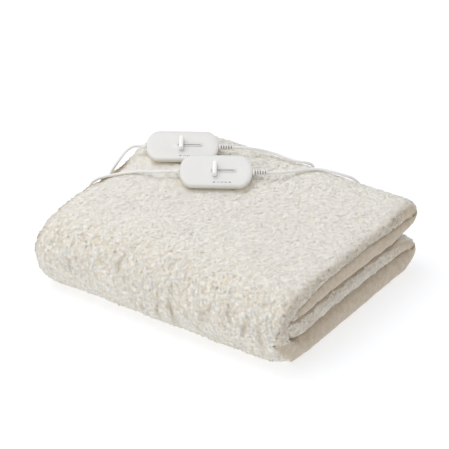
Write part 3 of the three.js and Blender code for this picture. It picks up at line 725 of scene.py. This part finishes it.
def only(kind, parts):
    return [part for part in parts if isinstance(part, kind)]


def own_place(unit):
    """Where a controller's own axes lie, in metres."""
    move = Matrix.Translation(Vector((unit["x"], unit["y"], unit["z"])) * MM)
    turn = Matrix.Rotation(math.radians(unit["turn"]), 4, "Z")
    tilt = Matrix.Rotation(math.radians(unit["tilt"]), 4, "X")
    return move @ turn @ tilt


def on_outline(outline, way, height):
    """The point of an outline with straight sides and round ends that lies in this direction."""
    side = math.copysign(1.0, way.x)
    return Vector((
        outline["middle"] + side * outline["straight"] + outline["end"] * way.x,
        outline["half"] * way.y,
        height,
    ))


def loft(bm, rings, sides=CASE_SIDES):
    """A closed body through rings of (outline, height), from the first ring's face to the last one's."""
    way = bm.verts.layers.float_vector.new("way")
    verts = bmesh.ops.create_circle(bm, segments=sides, radius=1.0)["verts"]
    half_step = Matrix.Rotation(math.pi / sides, 3, "Z")
    for vert in verts:
        vert[way] = half_step @ vert.co
    edges = list({edge for vert in verts for edge in vert.link_edges})
    bmesh.ops.contextual_create(bm, geom=edges)
    for number, (outline, height) in enumerate(rings):
        if number:
            grown = bmesh.ops.extrude_edge_only(bm, edges=edges)["geom"]
            verts = only(bmesh.types.BMVert, grown)
            edges = only(bmesh.types.BMEdge, grown)
        for vert in verts:
            vert.co = on_outline(outline, vert[way], height)
    bmesh.ops.contextual_create(bm, geom=edges)
    bm.verts.layers.float_vector.remove(way)


def blend_outline(first, second, share):
    return {key: first[key] + (second[key] - first[key]) * share for key in first}


def case_outline(inset):
    return {
        "middle": 0.0, "straight": CASE_LENGTH / 2 - CASE_END,
        "end": CASE_END - inset, "half": CASE_WIDTH / 2 - inset,
    }


def turned(profile, sides=SLEEVE_SIDES):
    """A turned piece along +X of rows of (radius, distance along), closed at both ends on its axis."""
    bm = bmesh.new()
    verts = [bm.verts.new((at, 0.0, radius)) for radius, at in profile]
    edges = [bm.edges.new(pair) for pair in zip(verts, verts[1:])]
    bmesh.ops.spin(
        bm, geom=verts + edges, cent=(0, 0, 0), axis=(1, 0, 0), angle=2 * math.pi, steps=sides,
        use_merge=True,
    )
    bmesh.ops.remove_doubles(bm, verts=bm.verts, dist=AXIS_WELD)
    return bm


def set_down(bm, at, backwards=False):
    """Moves a piece drawn along +X to its place, first turned to run along -X where it is backwards."""
    if backwards:
        bmesh.ops.rotate(bm, cent=(0, 0, 0), matrix=Matrix.Rotation(math.pi, 3, "Z"), verts=bm.verts)
    bmesh.ops.translate(bm, vec=at, verts=bm.verts)
    return bm


# Cords

def ease(share):
    share = min(1.0, max(0.0, share))
    return share * share * (3 - 2 * share)


def fade(value, start, end):
    """0 at start and before it, 1 at end and past it, and a smooth rise between them."""
    return ease((value - start) / (end - start))


def coil_route(centre):
    """Points round a coil: four turns side by side on the floor, wound inwards, then back out on top."""
    outer = COIL_RADIUS + (COIL_TURNS - 1) * CORD_D / 2
    points = []
    for degrees in range(0, COIL_TURNED + 1, COIL_STEP):
        inwards, outwards = (
            sum(fade(degrees, start, start + SHIFT) for start in starts)
            for starts in (INWARD_SHIFTS, OUTWARD_SHIFTS)
        )
        radius = outer - CORD_D * (inwards - outwards)
        height = CORD_D / 2 + CORD_D * fade(degrees, CLIMB_START, CLIMB_START + SHIFT)
        turn = math.radians(degrees)
        points.append((
            centre[0] + radius * math.cos(turn), centre[1] + radius * math.sin(turn), height,
        ))
    return points


def tail_route(end):
    """From the coil's last point straight on, down to the height of the plug's middle."""
    x, y, z = end
    leaves = x - COIL_LEAVE
    stops = leaves - TAIL_LENGTH
    return [
        (x - TAIL_STRAIGHT, y, z), (leaves, y, z), (leaves - TAIL_BEND, y, z),
        (stops + TAIL_BEND, y, PLUG_Z), (stops, y, PLUG_Z),
    ]


def in_metres(points):
    return [Vector(point) * MM for point in points]


def cord_curve(name, points, diameter):
    """A round cord on one smooth spline through the points."""
    curve = bpy.data.curves.new(name, "CURVE")
    curve.dimensions = "3D"
    curve.bevel_depth = diameter / 2
    curve.bevel_resolution = CORD_BEVEL
    curve.resolution_u = CORD_SPLITS
    curve.use_fill_caps = True
    spline = curve.splines.new("BEZIER")
    spline.bezier_points.add(len(points) - 1)
    for point, knot in zip(points, spline.bezier_points):
        knot.co = point
        knot.handle_left_type = "AUTO"
        knot.handle_right_type = "AUTO"
    return curve


def lay_cord(name, points, nodes, **facts):
    """A cord along points in millimetres; the facts of its ends are not used."""
    diameter = bpy.context.scene.cord_looks.diameter
    route = in_metres(points)
    piece = new_piece(name, cord_curve(name, route, diameter), sheath(), "root", nodes)


class COVER_OT_cords(bpy.types.Operator):
    """Lays the leads into the cover's hem and the mains cords into their coils"""

    bl_idname = "cover.cords"
    bl_label = "Lay the cords"

    def execute(self, context):
        for cord in CORDS:
            name = cord["name"]
            lay_cord(
                f"{name}_lead", cord["lead"], (f"{name}_cover_lead",), far_end="object", lay="loose",
                with_pieces=[f"{name}_hem_grommet"],
            )
            coil = coil_route(cord["coil"])
            lay_cord(
                f"{name}_mains", [*cord["mains"], *coil, *tail_route(coil[-1])],
                (f"{name}_mains_cord", f"{name}_cord_coil", f"{name}_plug_tail"),
                far_end="plug", lay="coiled",
                with_pieces=[f"{name}_plug_cap", f"{name}_plug_sleeve", f"{name}_plug_pins"],
            )
        return {"FINISHED"}


# Controllers

def case_half(place, profile, inner_rings):
    """A shell of the case: rings of the outline, drawn in and raised by a table, then its inner rings."""
    bm = bmesh.new()
    loft(bm, [(case_outline(row["inset"]), row["z"]) for row in profile] + inner_rings)
    mesh = to_mesh(bm, place)
    mesh.set_sharp_from_angle(angle=SHARP)
    return mesh


def slot_outline(grow):
    straight = (SLOT_END - SLOT_START) / 2 - SLOT_WIDTH / 2
    return {
        "middle": (SLOT_START + SLOT_END) / 2, "straight": straight,
        "end": SLOT_WIDTH / 2 + grow, "half": SLOT_WIDTH / 2 + grow,
    }


def upper_inner_rings():
    """The shallow dish round the slot, the slot's raised lip and its walls."""
    edge = case_outline(UPPER_PROFILE[-1]["inset"])
    middle = slot_outline(DISH_END)
    rings = [(blend_outline(edge, middle, row["share"]), CASE_TOP - row["dip"]) for row in DISH]
    rings += [(slot_outline(row["grow"]), CASE_TOP + row["z"]) for row in LIP]
    return rings


def knob_blade(bm):
    """The finger blade, across the slot, with rounded edges and a slight taper."""
    rings = []
    for row in BLADE:
        outline = {
            "middle": 0, "straight": KNOB_SPAN / 2 - row["inset"] - KNOB_ROUND, "end": KNOB_ROUND,
            "half": KNOB_THICK / 2 - row["inset"],
        }
        rings.append((outline, CASE_TOP + row["z"]))
    loft(bm, rings, KNOB_SIDES)
    bmesh.ops.rotate(bm, cent=(0, 0, 0), matrix=Matrix.Rotation(math.pi / 2, 3, "Z"), verts=bm.verts)


def knob_stem(bm):
    """The stem that runs in the slot, up into the blade."""
    bottom = CASE_TOP - SLOT_DEPTH + STEM_CLEAR
    height = CASE_TOP + BLADE[1]["z"] - bottom
    stem = bmesh.ops.create_cube(bm, size=1.0)["verts"]
    bmesh.ops.scale(bm, vec=(KNOB_STEM, SLOT_WIDTH - 2 * JOIN_GAP, height), verts=stem)
    bmesh.ops.translate(bm, vec=(0, 0, bottom + height / 2), verts=stem)


def knob_mesh(place):
    bm = bmesh.new()
    knob_blade(bm)
    knob_stem(bm)
    mesh = to_mesh(set_down(bm, (KNOB_X, 0, 0)), place)
    mesh.set_sharp_from_angle(angle=SHARP)
    return mesh


def ribbed_profile(size):
    """A collar, then rounded ribs that get smaller towards the cord."""
    pitch = (size["length"] - COLLAR) / size["ribs"]
    inner = size["from"] - COLLAR_ROUND
    rows = [
        (0.0, 0.0), (inner, 0.0), (size["from"], COLLAR_ROUND), (size["from"], COLLAR - COLLAR_ROUND),
        (inner, COLLAR),
    ]
    for number in range(size["ribs"]):
        rib = size["from"] - (size["from"] - size["to"]) * (number + 1) / size["ribs"]
        start = COLLAR + number * pitch
        rows += [(rib - (rib - RIB_VALLEY) * sunk, start + pitch * share) for share, sunk in RIB]
    return rows + [(CORD_D / 2 + MOUTH_GAP, size["length"]), (0.0, size["length"])]


def ribbed(size):
    """A ribbed relief that marks its grooves, so that the sheath's finish can paint shade into them."""
    bm = turned(ribbed_profile(size))
    groove = bm.verts.layers.float.new("groove")
    for vert in bm.verts:
        over_valley = math.hypot(vert.co.y, vert.co.z) - RIB_VALLEY
        vert[groove] = fade(over_valley, GROOVE_FADE, 0)
    return bm


def number_mesh(text, height, place, along):
    """A printed heat number that reads from the case's left end."""
    letters = bpy.data.curves.new("number", "FONT")
    letters.body = text
    letters.size = height / CAP_SHARE
    letters.align_x = "CENTER"
    letters.align_y = "CENTER"
    letters.extrude = PRINT_THICK * MM
    holder = add_object("number_holder", letters)
    mesh = mesh_of(holder)
    bpy.data.objects.remove(holder)
    turn = Matrix.Rotation(-math.pi / 2, 4, "Z")
    spot = Matrix.Translation(Vector((along, NUMBERS_V, CASE_TOP + PRINT_THICK)) * MM)
    mesh.transform(place @ spot @ turn)
    return mesh


class COVER_OT_controllers(bpy.types.Operator):
    """Builds the two slide controllers: shells, slide knobs, printed numbers, reliefs and inlets"""

    bl_idname = "cover.controllers"
    bl_label = "Build the controllers"

    def execute(self, context):
        looks = context.scene.controller_looks
        ink = stock("printed_marks", print_finish, tuple(looks.mark_colour))
        end = CASE_LENGTH / 2 + JOIN_GAP
        for unit in CONTROLLERS:
            name = unit["name"]
            place = own_place(unit)
            for part, node, kind, profile, inner_rings in (
                ("case_top", "upper_shell", "case", UPPER_PROFILE, upper_inner_rings()),
                ("case_base", "lower_shell", "base", LOWER_PROFILE, []),
            ):
                new_piece(
                    f"{name}_{part}", case_half(place, profile, inner_rings), plastic(kind), "root",
                    (f"{name}_{node}",),
                )
            new_piece(
                f"{name}_heat_knob", knob_mesh(place), plastic("knob"), f"{name}_knob",
                (f"{name}_slide_knob",),
            )
            for kind, bm in (
                ("strain_relief", set_down(ribbed(CASE_RELIEF), (end, 0, 0))),
                ("cord_inlet", set_down(turned(INLET_PROFILE), (-end, 0, 0), backwards=True)),
            ):
                new_piece(
                    f"{name}_{kind}_sleeve", to_mesh(bm, place), sheath(), "root",
                    (f"{name}_{kind}",),
                )
            for text, along in zip("01234", NUMBERS_U):
                mesh = number_mesh(text, looks.number_height, place, along)
                new_piece(f"{name}_number_{text}", mesh, ink, "root")
        return {"FINISHED"}


# Fittings of the cords: grommets in the cover's hem and two-pin plugs

def plug_cap(end):
    """The plug's body: a block that narrows towards the cord, with rounded edges."""
    bm = bmesh.new()
    bmesh.ops.create_cube(bm, size=1.0)
    bmesh.ops.scale(bm, vec=(PLUG_LENGTH, PLUG_WIDTH, PLUG_THICK), verts=bm.verts)
    bmesh.ops.translate(bm, vec=(-PLUG_LENGTH / 2, 0, 0), verts=bm.verts)
    bmesh.ops.bisect_plane(
        bm, geom=bm.verts[:] + bm.edges[:] + bm.faces[:], plane_co=(-PLUG_LENGTH * PLUG_NECK, 0, 0),
        plane_no=(1, 0, 0),
    )
    cord_end = [vert for vert in bm.verts if vert.co.x > -JOIN_GAP]
    bmesh.ops.scale(bm, vec=PLUG_NARROWS, verts=cord_end)
    bm.normal_update()
    edges = [edge for edge in bm.edges if edge.calc_face_angle(0) > ROUNDED_FROM]
    bmesh.ops.bevel(
        bm, geom=edges, offset=PLUG_ROUND, offset_type="OFFSET", affect="EDGES",
        segments=PLUG_BEVEL_SIDES, profile=0.5, material=-1, clamp_overlap=True,
    )
    return set_down(bm, end)


def plug_pins(end):
    """The plug's two pins, side by side."""
    x, y, z = end
    bm = set_down(turned(PIN_PROFILE, PIN_SIDES), (x, y - PIN_SPACING / 2, z), backwards=True)
    second = bmesh.ops.duplicate(bm, geom=bm.verts[:] + bm.edges[:] + bm.faces[:])["geom"]
    bmesh.ops.translate(bm, vec=(0, PIN_SPACING, 0), verts=only(bmesh.types.BMVert, second))
    return bm


class COVER_OT_fittings(bpy.types.Operator):
    """Builds the grommets where the leads enter the hem, and the two-pin plugs beside the coils"""

    bl_idname = "cover.fittings"
    bl_label = "Build the grommets and plugs"

    def execute(self, context):
        metal = stock("pin_plating", metal_finish)
        for cord in CORDS:
            name = cord["name"]
            _, lead_y, lead_z = cord["lead"][-1]
            x, y, z = tail_route(coil_route(cord["coil"])[-1])[-1]
            sleeve_x = x - JOIN_GAP - PLUG_RELIEF["length"]
            cap_x = sleeve_x - JOIN_GAP
            pins_x = cap_x - PLUG_LENGTH - JOIN_GAP
            grommet = set_down(turned(GROMMET_PROFILE), (GROMMET_X, lead_y, lead_z), backwards=True)
            for part, bm, finish, slot, nodes in (
                ("hem_grommet", grommet, sheath(), "cord_rubber", ("lead_grommet",)),
                ("plug_sleeve", set_down(ribbed(PLUG_RELIEF), (sleeve_x, y, z)), sheath(), "cord_rubber",
                 ("plug_relief",)),
                ("plug_cap", plug_cap((cap_x, y, z)), plastic("case"), "controller_case", ("plug_body",)),
                ("plug_pins", plug_pins((pins_x, y, z)), metal, "pin_metal",
                 ("plug_pin_near", "plug_pin_far")),
            ):
                replaced = [f"{name}_{node}" for node in nodes]
                new_piece(f"{name}_{part}", to_mesh(bm), finish, "root", replaced)
        return {"FINISHED"}


# Folded cover

def is_shown(tree, face):
    """A face shows if no other layer lies close over it and it isn't the underside."""
    middle = face.calc_center_median()
    if face.normal.z < FACES_DOWN and middle.z < UNDERSIDE:
        return False
    return tree.ray_cast(middle + face.normal * WELD, face.normal, LAYER_SIGHT)[0] is None


def split_shown(bm, longest):
    """Halves the long edges of the faces that show, a few times over."""
    shown = bm.faces.layers.int["shown"]
    for _ in range(SPLIT_PASSES):
        long_edges = [
            edge for edge in bm.edges
            if edge.calc_length() > longest and any(face[shown] for face in edge.link_faces)
        ]
        bmesh.ops.subdivide_edges(bm, edges=long_edges, cuts=1)
        bmesh.ops.triangulate(bm, faces=[face for face in bm.faces if len(face.verts) > 3])


def fine_cloth():
    """A copy of the solid's folds, finer where it shows, with its facets smoothed away."""
    bm = bmesh.new()
    bm.from_mesh(frame["nodes"]["cover_cloth"].data)
    bmesh.ops.remove_doubles(bm, verts=bm.verts, dist=WELD)
    long_edges = [edge for edge in bm.edges if edge.calc_length() > FIRST_SPLIT]
    bmesh.ops.subdivide_edges(bm, edges=long_edges, cuts=1)
    bmesh.ops.triangulate(bm, faces=bm.faces)
    shown = bm.faces.layers.int.new("shown")
    tree = BVHTree.FromBMesh(bm)
    for face in bm.faces:
        face[shown] = int(is_shown(tree, face))
    for step in CLOTH_STEPS:
        split_shown(bm, step["longest"])
        free = [vert for vert in bm.verts if all(face[shown] for face in vert.link_faces)]
        for _ in range(step["passes"]):
            bmesh.ops.smooth_vert(
                bm, verts=free, factor=SMOOTHING, use_axis_x=True, use_axis_y=True, use_axis_z=True,
            )
    bm.normal_update()
    return bm


def gap_height(gap, y):
    """The height of a gap between two layers at this depth, between the rows of its table."""
    if y <= SIDE_GAPS[0]["y"]:
        return SIDE_GAPS[0][gap]
    for before, after in zip(SIDE_GAPS, SIDE_GAPS[1:]):
        if y <= after["y"]:
            share = (y - before["y"]) / (after["y"] - before["y"])
            return before[gap] + (after[gap] - before[gap]) * share
    return SIDE_GAPS[-1][gap]


def pile_share(spot, normal):
    """How much pile a spot of the cover has: 1 on the fleece, 0 on the smooth faces of the hems."""
    x, y, z = spot / MM
    side = fade(abs(normal.x), *SIDE_FACING) * fade(abs(x), *SIDE_PLACE)
    if side <= 0:
        return 1.0
    z += sum(wave["rise"] * math.sin(y / wave["reach"] + wave["drift"] * x) for wave in BORDER_WAVES)
    one_two, two_three, three_four = (gap_height(gap, y) for gap in GAP_WIDTHS)
    if y < NOSE_STARTS:
        on_pile = fade(z, *NOSE_PILE)
    elif z > one_two or three_four < z <= two_three:
        on_pile = 1 - fade(y, *SIDE_PILE_ENDS)
    else:
        on_pile = 0.0
    return 1 - side * (1 - on_pile)


def shade_in_crevices(spot):
    """How much painted shade a spot takes down in a gap between two layers on the sides, or in a crease in
    front.
    """
    x, y, z = spot / MM
    dark = 0.0
    if y >= NOSE_STARTS:
        side = fade(abs(x), *GAP_PLACE)
        for gap, wide in GAP_WIDTHS.items():
            away = (z - gap_height(gap, y)) / wide
            dark = max(dark, side * math.exp(-away * away))
    return min(1.0, dark + CREASE_SHADE * press(spot) / CREASE_SHADE_AT)


def side_shade_share(spot, normal):
    """How far the pile takes on the hems' colour as painted shade: on the sides, more so to the back, and
    low in front.
    """
    x, y, z = spot / MM
    side = fade(abs(x), *EDGE_PLACE) * fade(abs(normal.x), *EDGE_FACING)
    low = LOW_SHADE_TINT * fade(z, *LOW_HEIGHT) * fade(y, *LOW_FRONT)
    return max(low, side * max(SIDE_SHADE_TINT, fade(y, *EDGE_BACK)))


def curl_share(spot, normal):
    """How much the curls show: all over the front fold, and a little elsewhere; they raise the lumps and
    take painted shade in the lines between them.
    """
    front = fade(normal.y, *CURL_FACING) * fade(spot.y / MM, *CURL_FRONT)
    return CURL_LEAST + (1 - CURL_LEAST) * front


class Room:
    """The room that the controllers and cords leave over the cover."""

    def __init__(self):
        self.units = [own_place(unit).inverted() for unit in CONTROLLERS]
        points = []
        for route in (in_metres(cord[part]) for cord in CORDS for part in ("lead", "mains")):
            for before, after in zip(route, route[1:]):
                points += [before.lerp(after, step / CORD_STEPS) for step in range(CORD_STEPS)]
        self.cords = KDTree(len(points))
        for index, point in enumerate(points):
            self.cords.insert(point, index)
        self.cords.balance()

    def at(self, spot):
        """0 under a controller or right at a cord, 1 in the open."""
        room = 1.0
        for to_own in self.units:
            own = to_own @ spot / MM
            past_end = max(0.0, abs(own.x) - (CASE_LENGTH / 2 - CASE_END)) / CASE_END
            out = math.hypot(past_end, own.y / (CASE_WIDTH / 2))
            if own.z > -CASE_BOTTOM - CASE_REACH:
                room = min(room, fade(out, *CASE_ROOM))
        _, _, distance = self.cords.find(spot)
        return min(room, fade(distance / MM, *CORD_ROOM))


def clump_height(spot, size, seed):
    """Rounded clumps, 0 between them and 1 on their tops."""
    distances, _ = noise.voronoi(spot / size + Vector((seed, 0, 0)))
    return 1 - min(1.0, distances[0] * CLUMP_FALL) ** 2


def press(spot):
    """How deep the listed creases go at a spot."""
    x, y, z = spot / MM
    deep = 0.0
    for crease in CREASES:
        lean = (z - crease["z"]) * crease["lean"]
        wander = CREASE_WANDER * math.sin(z / CREASE_REACH + crease["x"])
        across = (x - crease["x"] - lean - wander) / crease["wide"]
        along = (z - crease["z"]) / crease["tall"]
        front = fade(y, crease["y"], crease["y"] - CREASE_FADE)
        deep += crease["deep"] * math.exp(-across * across - along * along) * front
    return deep * MM


class COVER_OT_cloth(bpy.types.Operator):
    """Builds the folded cover on its solid's folds, with its clumps, creases and smooth hems"""

    bl_idname = "cover.cloth"
    bl_label = "Build the folded cover"

    def execute(self, context):
        looks = context.scene.cover_looks
        bm = fine_cloth()
        shown = bm.faces.layers.int["shown"]
        layers = {
            key: bm.verts.layers.float.new(key) for key in ("pile", "clump", "crevice", "edge", "curl")
        }
        lock_layers = {region: bm.verts.layers.float.new(f"locks_{region}") for region in REGIONS}
        room = Room()
        moves = []
        for vert in bm.verts:
            if not all(face[shown] for face in vert.link_faces):
                moves.append(Vector())
                continue
            spot = vert.co.copy()
            pile = pile_share(spot, vert.normal)
            free = room.at(spot)
            curl = curl_share(spot, vert.normal)
            tall = clump_height(spot, looks.clump, looks.seed)
            small = clump_height(spot, looks.clump * SMALL_SIZE, looks.seed + SMALL_SEED)
            slow = noise.fractal(spot / SLOW_SIZE, *SLOW_FRACTAL.values())
            rise = looks.clump_height * (TALL_SHARE * tall + SMALL_SHARE * (small - 1)) + SLOW_HEIGHT * slow
            rise *= (BARE_SHARE + (1 - BARE_SHARE) * pile) * (1 + CURL_LIFT * curl)
            off_floor = fade(spot.z / MM, *MOVES_FROM)
            moves.append(vert.normal * ((rise - press(spot)) * free * off_floor))
            # Shares that the finish reads: painted shade between the clumps, in the gaps and creases, on the
            # sides and low front, and between the curls
            shares = {
                "pile": pile, "clump": min(1.0, TOP_SHADE * tall + SMALL_SHARE * small),
                "crevice": shade_in_crevices(spot), "edge": side_shade_share(spot, vert.normal), "curl": curl,
            }
            for key, share in shares.items():
                vert[layers[key]] = share
            wanted = pile * free * fade(spot.z / MM, *LOCKS_FROM)
            vert[lock_layers[region_of(spot, vert.normal)]] = wanted if wanted > LOCK_LEAST else 0.0
        for vert, move in zip(bm.verts, moves):
            vert.co += move
        fleece = stock("fleece_cloth", fleece_finish, looks, False)
        cover = new_piece("folded_cover", finished(bm), fleece, "root", ("cover_cloth",))
        return {"FINISHED"}


def region_of(spot, normal):
    if normal.z > TOP_NORMAL:
        return "top_left" if spot.x < 0 else "top_right"
    if abs(normal.x) > SIDE_NORMAL:
        return "sides"
    return "front" if spot.y < 0 else "back"


# Locks of pile

def lock_mesh(curl):
    """One lock: a small tapering curl of four-sided rings that rises from the cloth and leans over."""
    bm = bmesh.new()
    ring = bmesh.ops.create_circle(bm, segments=LOCK_SIDES, radius=curl["thick"])["verts"]
    edges = list({edge for vert in ring for edge in vert.link_edges})
    bmesh.ops.translate(bm, vec=(0, 0, -curl["sunk"]), verts=ring)
    depth = bm.verts.layers.float.new("depth")
    middle = Vector((0, 0, -curl["sunk"]))
    centre = middle + Vector((curl["radius"], 0, 0))
    turn = Matrix.Rotation(math.radians(curl["turn"]) / LOCK_RINGS, 3, "Y")
    twist = Matrix.Rotation(math.radians(curl["twist"]), 3, "Z")
    for step, (before, after) in enumerate(zip((1, *LOCK_TAPER), LOCK_TAPER), 1):
        grown = bmesh.ops.extrude_edge_only(bm, edges=edges)["geom"]
        ring = only(bmesh.types.BMVert, grown)
        edges = only(bmesh.types.BMEdge, grown)
        bmesh.ops.rotate(bm, cent=centre, matrix=turn, verts=ring)
        bmesh.ops.rotate(bm, cent=(0, 0, 0), matrix=twist, verts=ring)
        middle = twist @ (centre + turn @ (middle - centre))
        centre = twist @ centre
        turn = twist @ turn @ twist.inverted()
        for vert in ring:
            vert.co = middle + (vert.co - middle) * (after / before)
            vert[depth] = step / LOCK_RINGS
    bmesh.ops.contextual_create(bm, geom=edges)
    return to_mesh(bm)


def pile_nodes(locks, looks):
    """Scatters the locks over the cloth where its attribute asks for them, each turned at random."""
    tree = bpy.data.node_groups.new("pile_locks", "GeometryNodeTree")
    for way in ("INPUT", "OUTPUT"):
        tree.interface.new_socket("Geometry", in_out=way, socket_type="NodeSocketGeometry")
    cloth = add_node(tree, "NodeGroupInput")
    wanted = add_node(tree, "GeometryNodeInputNamedAttribute", {"data_type": "FLOAT"})
    scatter = add_node(
        tree, "GeometryNodeDistributePointsOnFaces", {"distribute_method": "POISSON"},
        Mesh=cloth.outputs[0], Density_Factor=wanted.outputs["Attribute"], Density_Max=LOCK_DENSITY,
        Distance_Min=looks.lock_spacing, Seed=looks.seed,
    )
    pick = add_node(
        tree, "GeometryNodeCollectionInfo", {"transform_space": "ORIGINAL"},
        Collection=locks, Separate_Children=True, Reset_Children=True,
    )
    spin = add_node(
        tree, "FunctionNodeRandomValue", {"data_type": "FLOAT_VECTOR"},
        Min=(-LOCK_TILT, -LOCK_TILT, 0), Max=(LOCK_TILT, LOCK_TILT, 2 * math.pi),
    )
    angles = add_node(tree, "FunctionNodeEulerToRotation", Euler=spin.outputs["Value"])
    turn = add_node(
        tree, "FunctionNodeRotateRotation", {"rotation_space": "LOCAL"},
        Rotation=scatter.outputs["Rotation"], Rotate_By=angles.outputs["Rotation"],
    )
    grow = add_node(tree, "FunctionNodeRandomValue", {"data_type": "FLOAT"})
    grow.inputs[2].default_value, grow.inputs[3].default_value = LOCK_SCALES
    lie = add_node(
        tree, "GeometryNodeStoreNamedAttribute", {"data_type": "FLOAT_VECTOR", "domain": "POINT"},
        Geometry=scatter.outputs["Points"], Name="lie", Value=scatter.outputs["Normal"],
    )
    place = add_node(
        tree, "GeometryNodeInstanceOnPoints", Points=lie.outputs["Geometry"],
        Instance=pick.outputs["Instances"], Pick_Instance=True, Rotation=turn.outputs["Rotation"],
        Scale=grow.outputs[1],
    )
    real = add_node(tree, "GeometryNodeRealizeInstances", Geometry=place.outputs["Instances"])
    result = add_node(tree, "NodeGroupOutput")
    feed(tree, real.outputs["Geometry"], result.inputs[0])
    return tree, wanted


class COVER_OT_pile(bpy.types.Operator):
    """Grows the curly locks of the fleece over the cover, as joined meshes"""

    bl_idname = "cover.pile"
    bl_label = "Grow the pile"

    def execute(self, context):
        looks = context.scene.cover_looks
        cover = bpy.data.objects["folded_cover"]
        locks = bpy.data.collections.new("lock_shapes")
        for index, curl in enumerate(LOCKS):
            locks.objects.link(bpy.data.objects.new(f"lock_{index}", lock_mesh(curl)))
        tree, wanted = pile_nodes(locks, looks)
        material = stock("fleece_locks", fleece_finish, looks, True)
        carrier = add_object("lock_carrier", cover.data)
        carrier.modifiers.new("pile", "NODES").node_group = tree
        for region in REGIONS:
            wanted.inputs["Name"].default_value = f"locks_{region}"
            mesh = mesh_of(carrier)
            if not mesh.polygons:
                raise RuntimeError(f"no lock grew on the {region} of the cover")
            mesh.materials.clear()
            mesh.shade_smooth()
            new_piece(f"pile_{region}", mesh, material, "root")
        for helper in (carrier, *locks.objects):
            bpy.data.objects.remove(helper)
        bpy.data.collections.remove(locks)
        bpy.data.node_groups.remove(tree)
        return {"FINISHED"}


# Stage

def aim_of(azimuth, elevation):
    return Vector((
        -math.sin(azimuth) * math.cos(elevation), math.cos(azimuth) * math.cos(elevation),
        -math.sin(elevation),
    ))


class COVER_OT_stage(bpy.types.Operator):
    """Lays the pale floor, hangs the soft lights and stands the camera"""

    bl_idname = "cover.stage"
    bl_label = "Set the stage"

    def execute(self, context):
        settings = context.scene.stage_settings
        bm = bmesh.new()
        bmesh.ops.create_grid(bm, x_segments=1, y_segments=1, size=FLOOR_SIZE)
        floor = add_object("floor", finished(bm))
        paper = Shader("pale_floor")
        paper.set(FLOOR_SURFACE)
        floor.data.materials.append(paper.material)

        world = bpy.data.worlds.new("soft_light")
        world.use_nodes = True
        for name, value in SKY.items():
            world.node_tree.nodes["Background"].inputs[name].default_value = value
        context.scene.world = world
        context.scene.view_settings.view_transform = "Standard"

        for lamp in LAMPS:
            light = bpy.data.lights.new(lamp["name"], "AREA")
            light.shape = "DISK"
            light.size = lamp["size"]
            light.energy = lamp["energy"]
            light.color = lamp["colour"]
            holder = add_object(lamp["name"], light)
            holder.location = lamp["at"]
            holder.rotation_euler = (-Vector(lamp["at"])).to_track_quat("-Z", "Y").to_euler()

        aim = aim_of(settings.azimuth, settings.elevation)
        right = Vector((math.cos(settings.azimuth), math.sin(settings.azimuth), 0))
        up = right.cross(aim)
        target = Vector(CAMERA_TARGET) * MM + right * (FRAMED["right"] * MM) + up * (FRAMED["up"] * MM)
        lens = bpy.data.cameras.new("camera")
        lens.lens = settings.lens
        lens.sensor_width = SENSOR_WIDTH
        lens.clip_end = CLIP_END
        camera = add_object("camera", lens)
        camera.location = target - aim * settings.distance
        camera.rotation_euler = aim.to_track_quat("-Z", "Y").to_euler()
        context.scene.camera = camera
        return {"FINISHED"}


# Panel and registration

class COVER_PT_panel(bpy.types.Panel):
    """Lists the cover's sizes, colours and building steps"""

    bl_idname = "COVER_PT_panel"
    bl_label = "Folded cover"
    bl_space_type = "VIEW_3D"
    bl_region_type = "UI"
    bl_category = "Cover"

    def draw(self, context):
        for group, steps in PANEL_ROWS:
            box = self.layout.box()
            settings = getattr(context.scene, group)
            for key in settings.__annotations__:
                box.prop(settings, key)
            for step in steps:
                box.operator(step)


PANEL_ROWS = (
    ("stage_settings", ("cover.stage",)),
    ("cord_looks", ("cover.cords", "cover.fittings")),
    ("controller_looks", ("cover.controllers",)),
    ("cover_looks", ("cover.cloth", "cover.pile")),
)
SETTINGS = {
    "stage_settings": StageSettings, "cord_looks": CordLooks, "controller_looks": ControllerLooks,
    "cover_looks": CoverLooks,
}
CLASSES = (
    *SETTINGS.values(), COVER_OT_stage, COVER_OT_fittings, COVER_OT_cords, COVER_OT_controllers,
    COVER_OT_cloth, COVER_OT_pile, COVER_PT_panel,
)


def register():
    for entry in CLASSES:
        bpy.utils.register_class(entry)
    for name, group in SETTINGS.items():
        setattr(bpy.types.Scene, name, PointerProperty(type=group))


def unregister():
    for name in SETTINGS:
        delattr(bpy.types.Scene, name)
    for entry in reversed(CLASSES):
        bpy.utils.unregister_class(entry)


def main():
    register()
    bpy.ops.cover.stage()
    bpy.ops.cover.fittings()
    bpy.ops.cover.cords()
    bpy.ops.cover.controllers()
    bpy.ops.cover.cloth()
    bpy.ops.cover.pile()


if __name__ == "__main__":
    main()
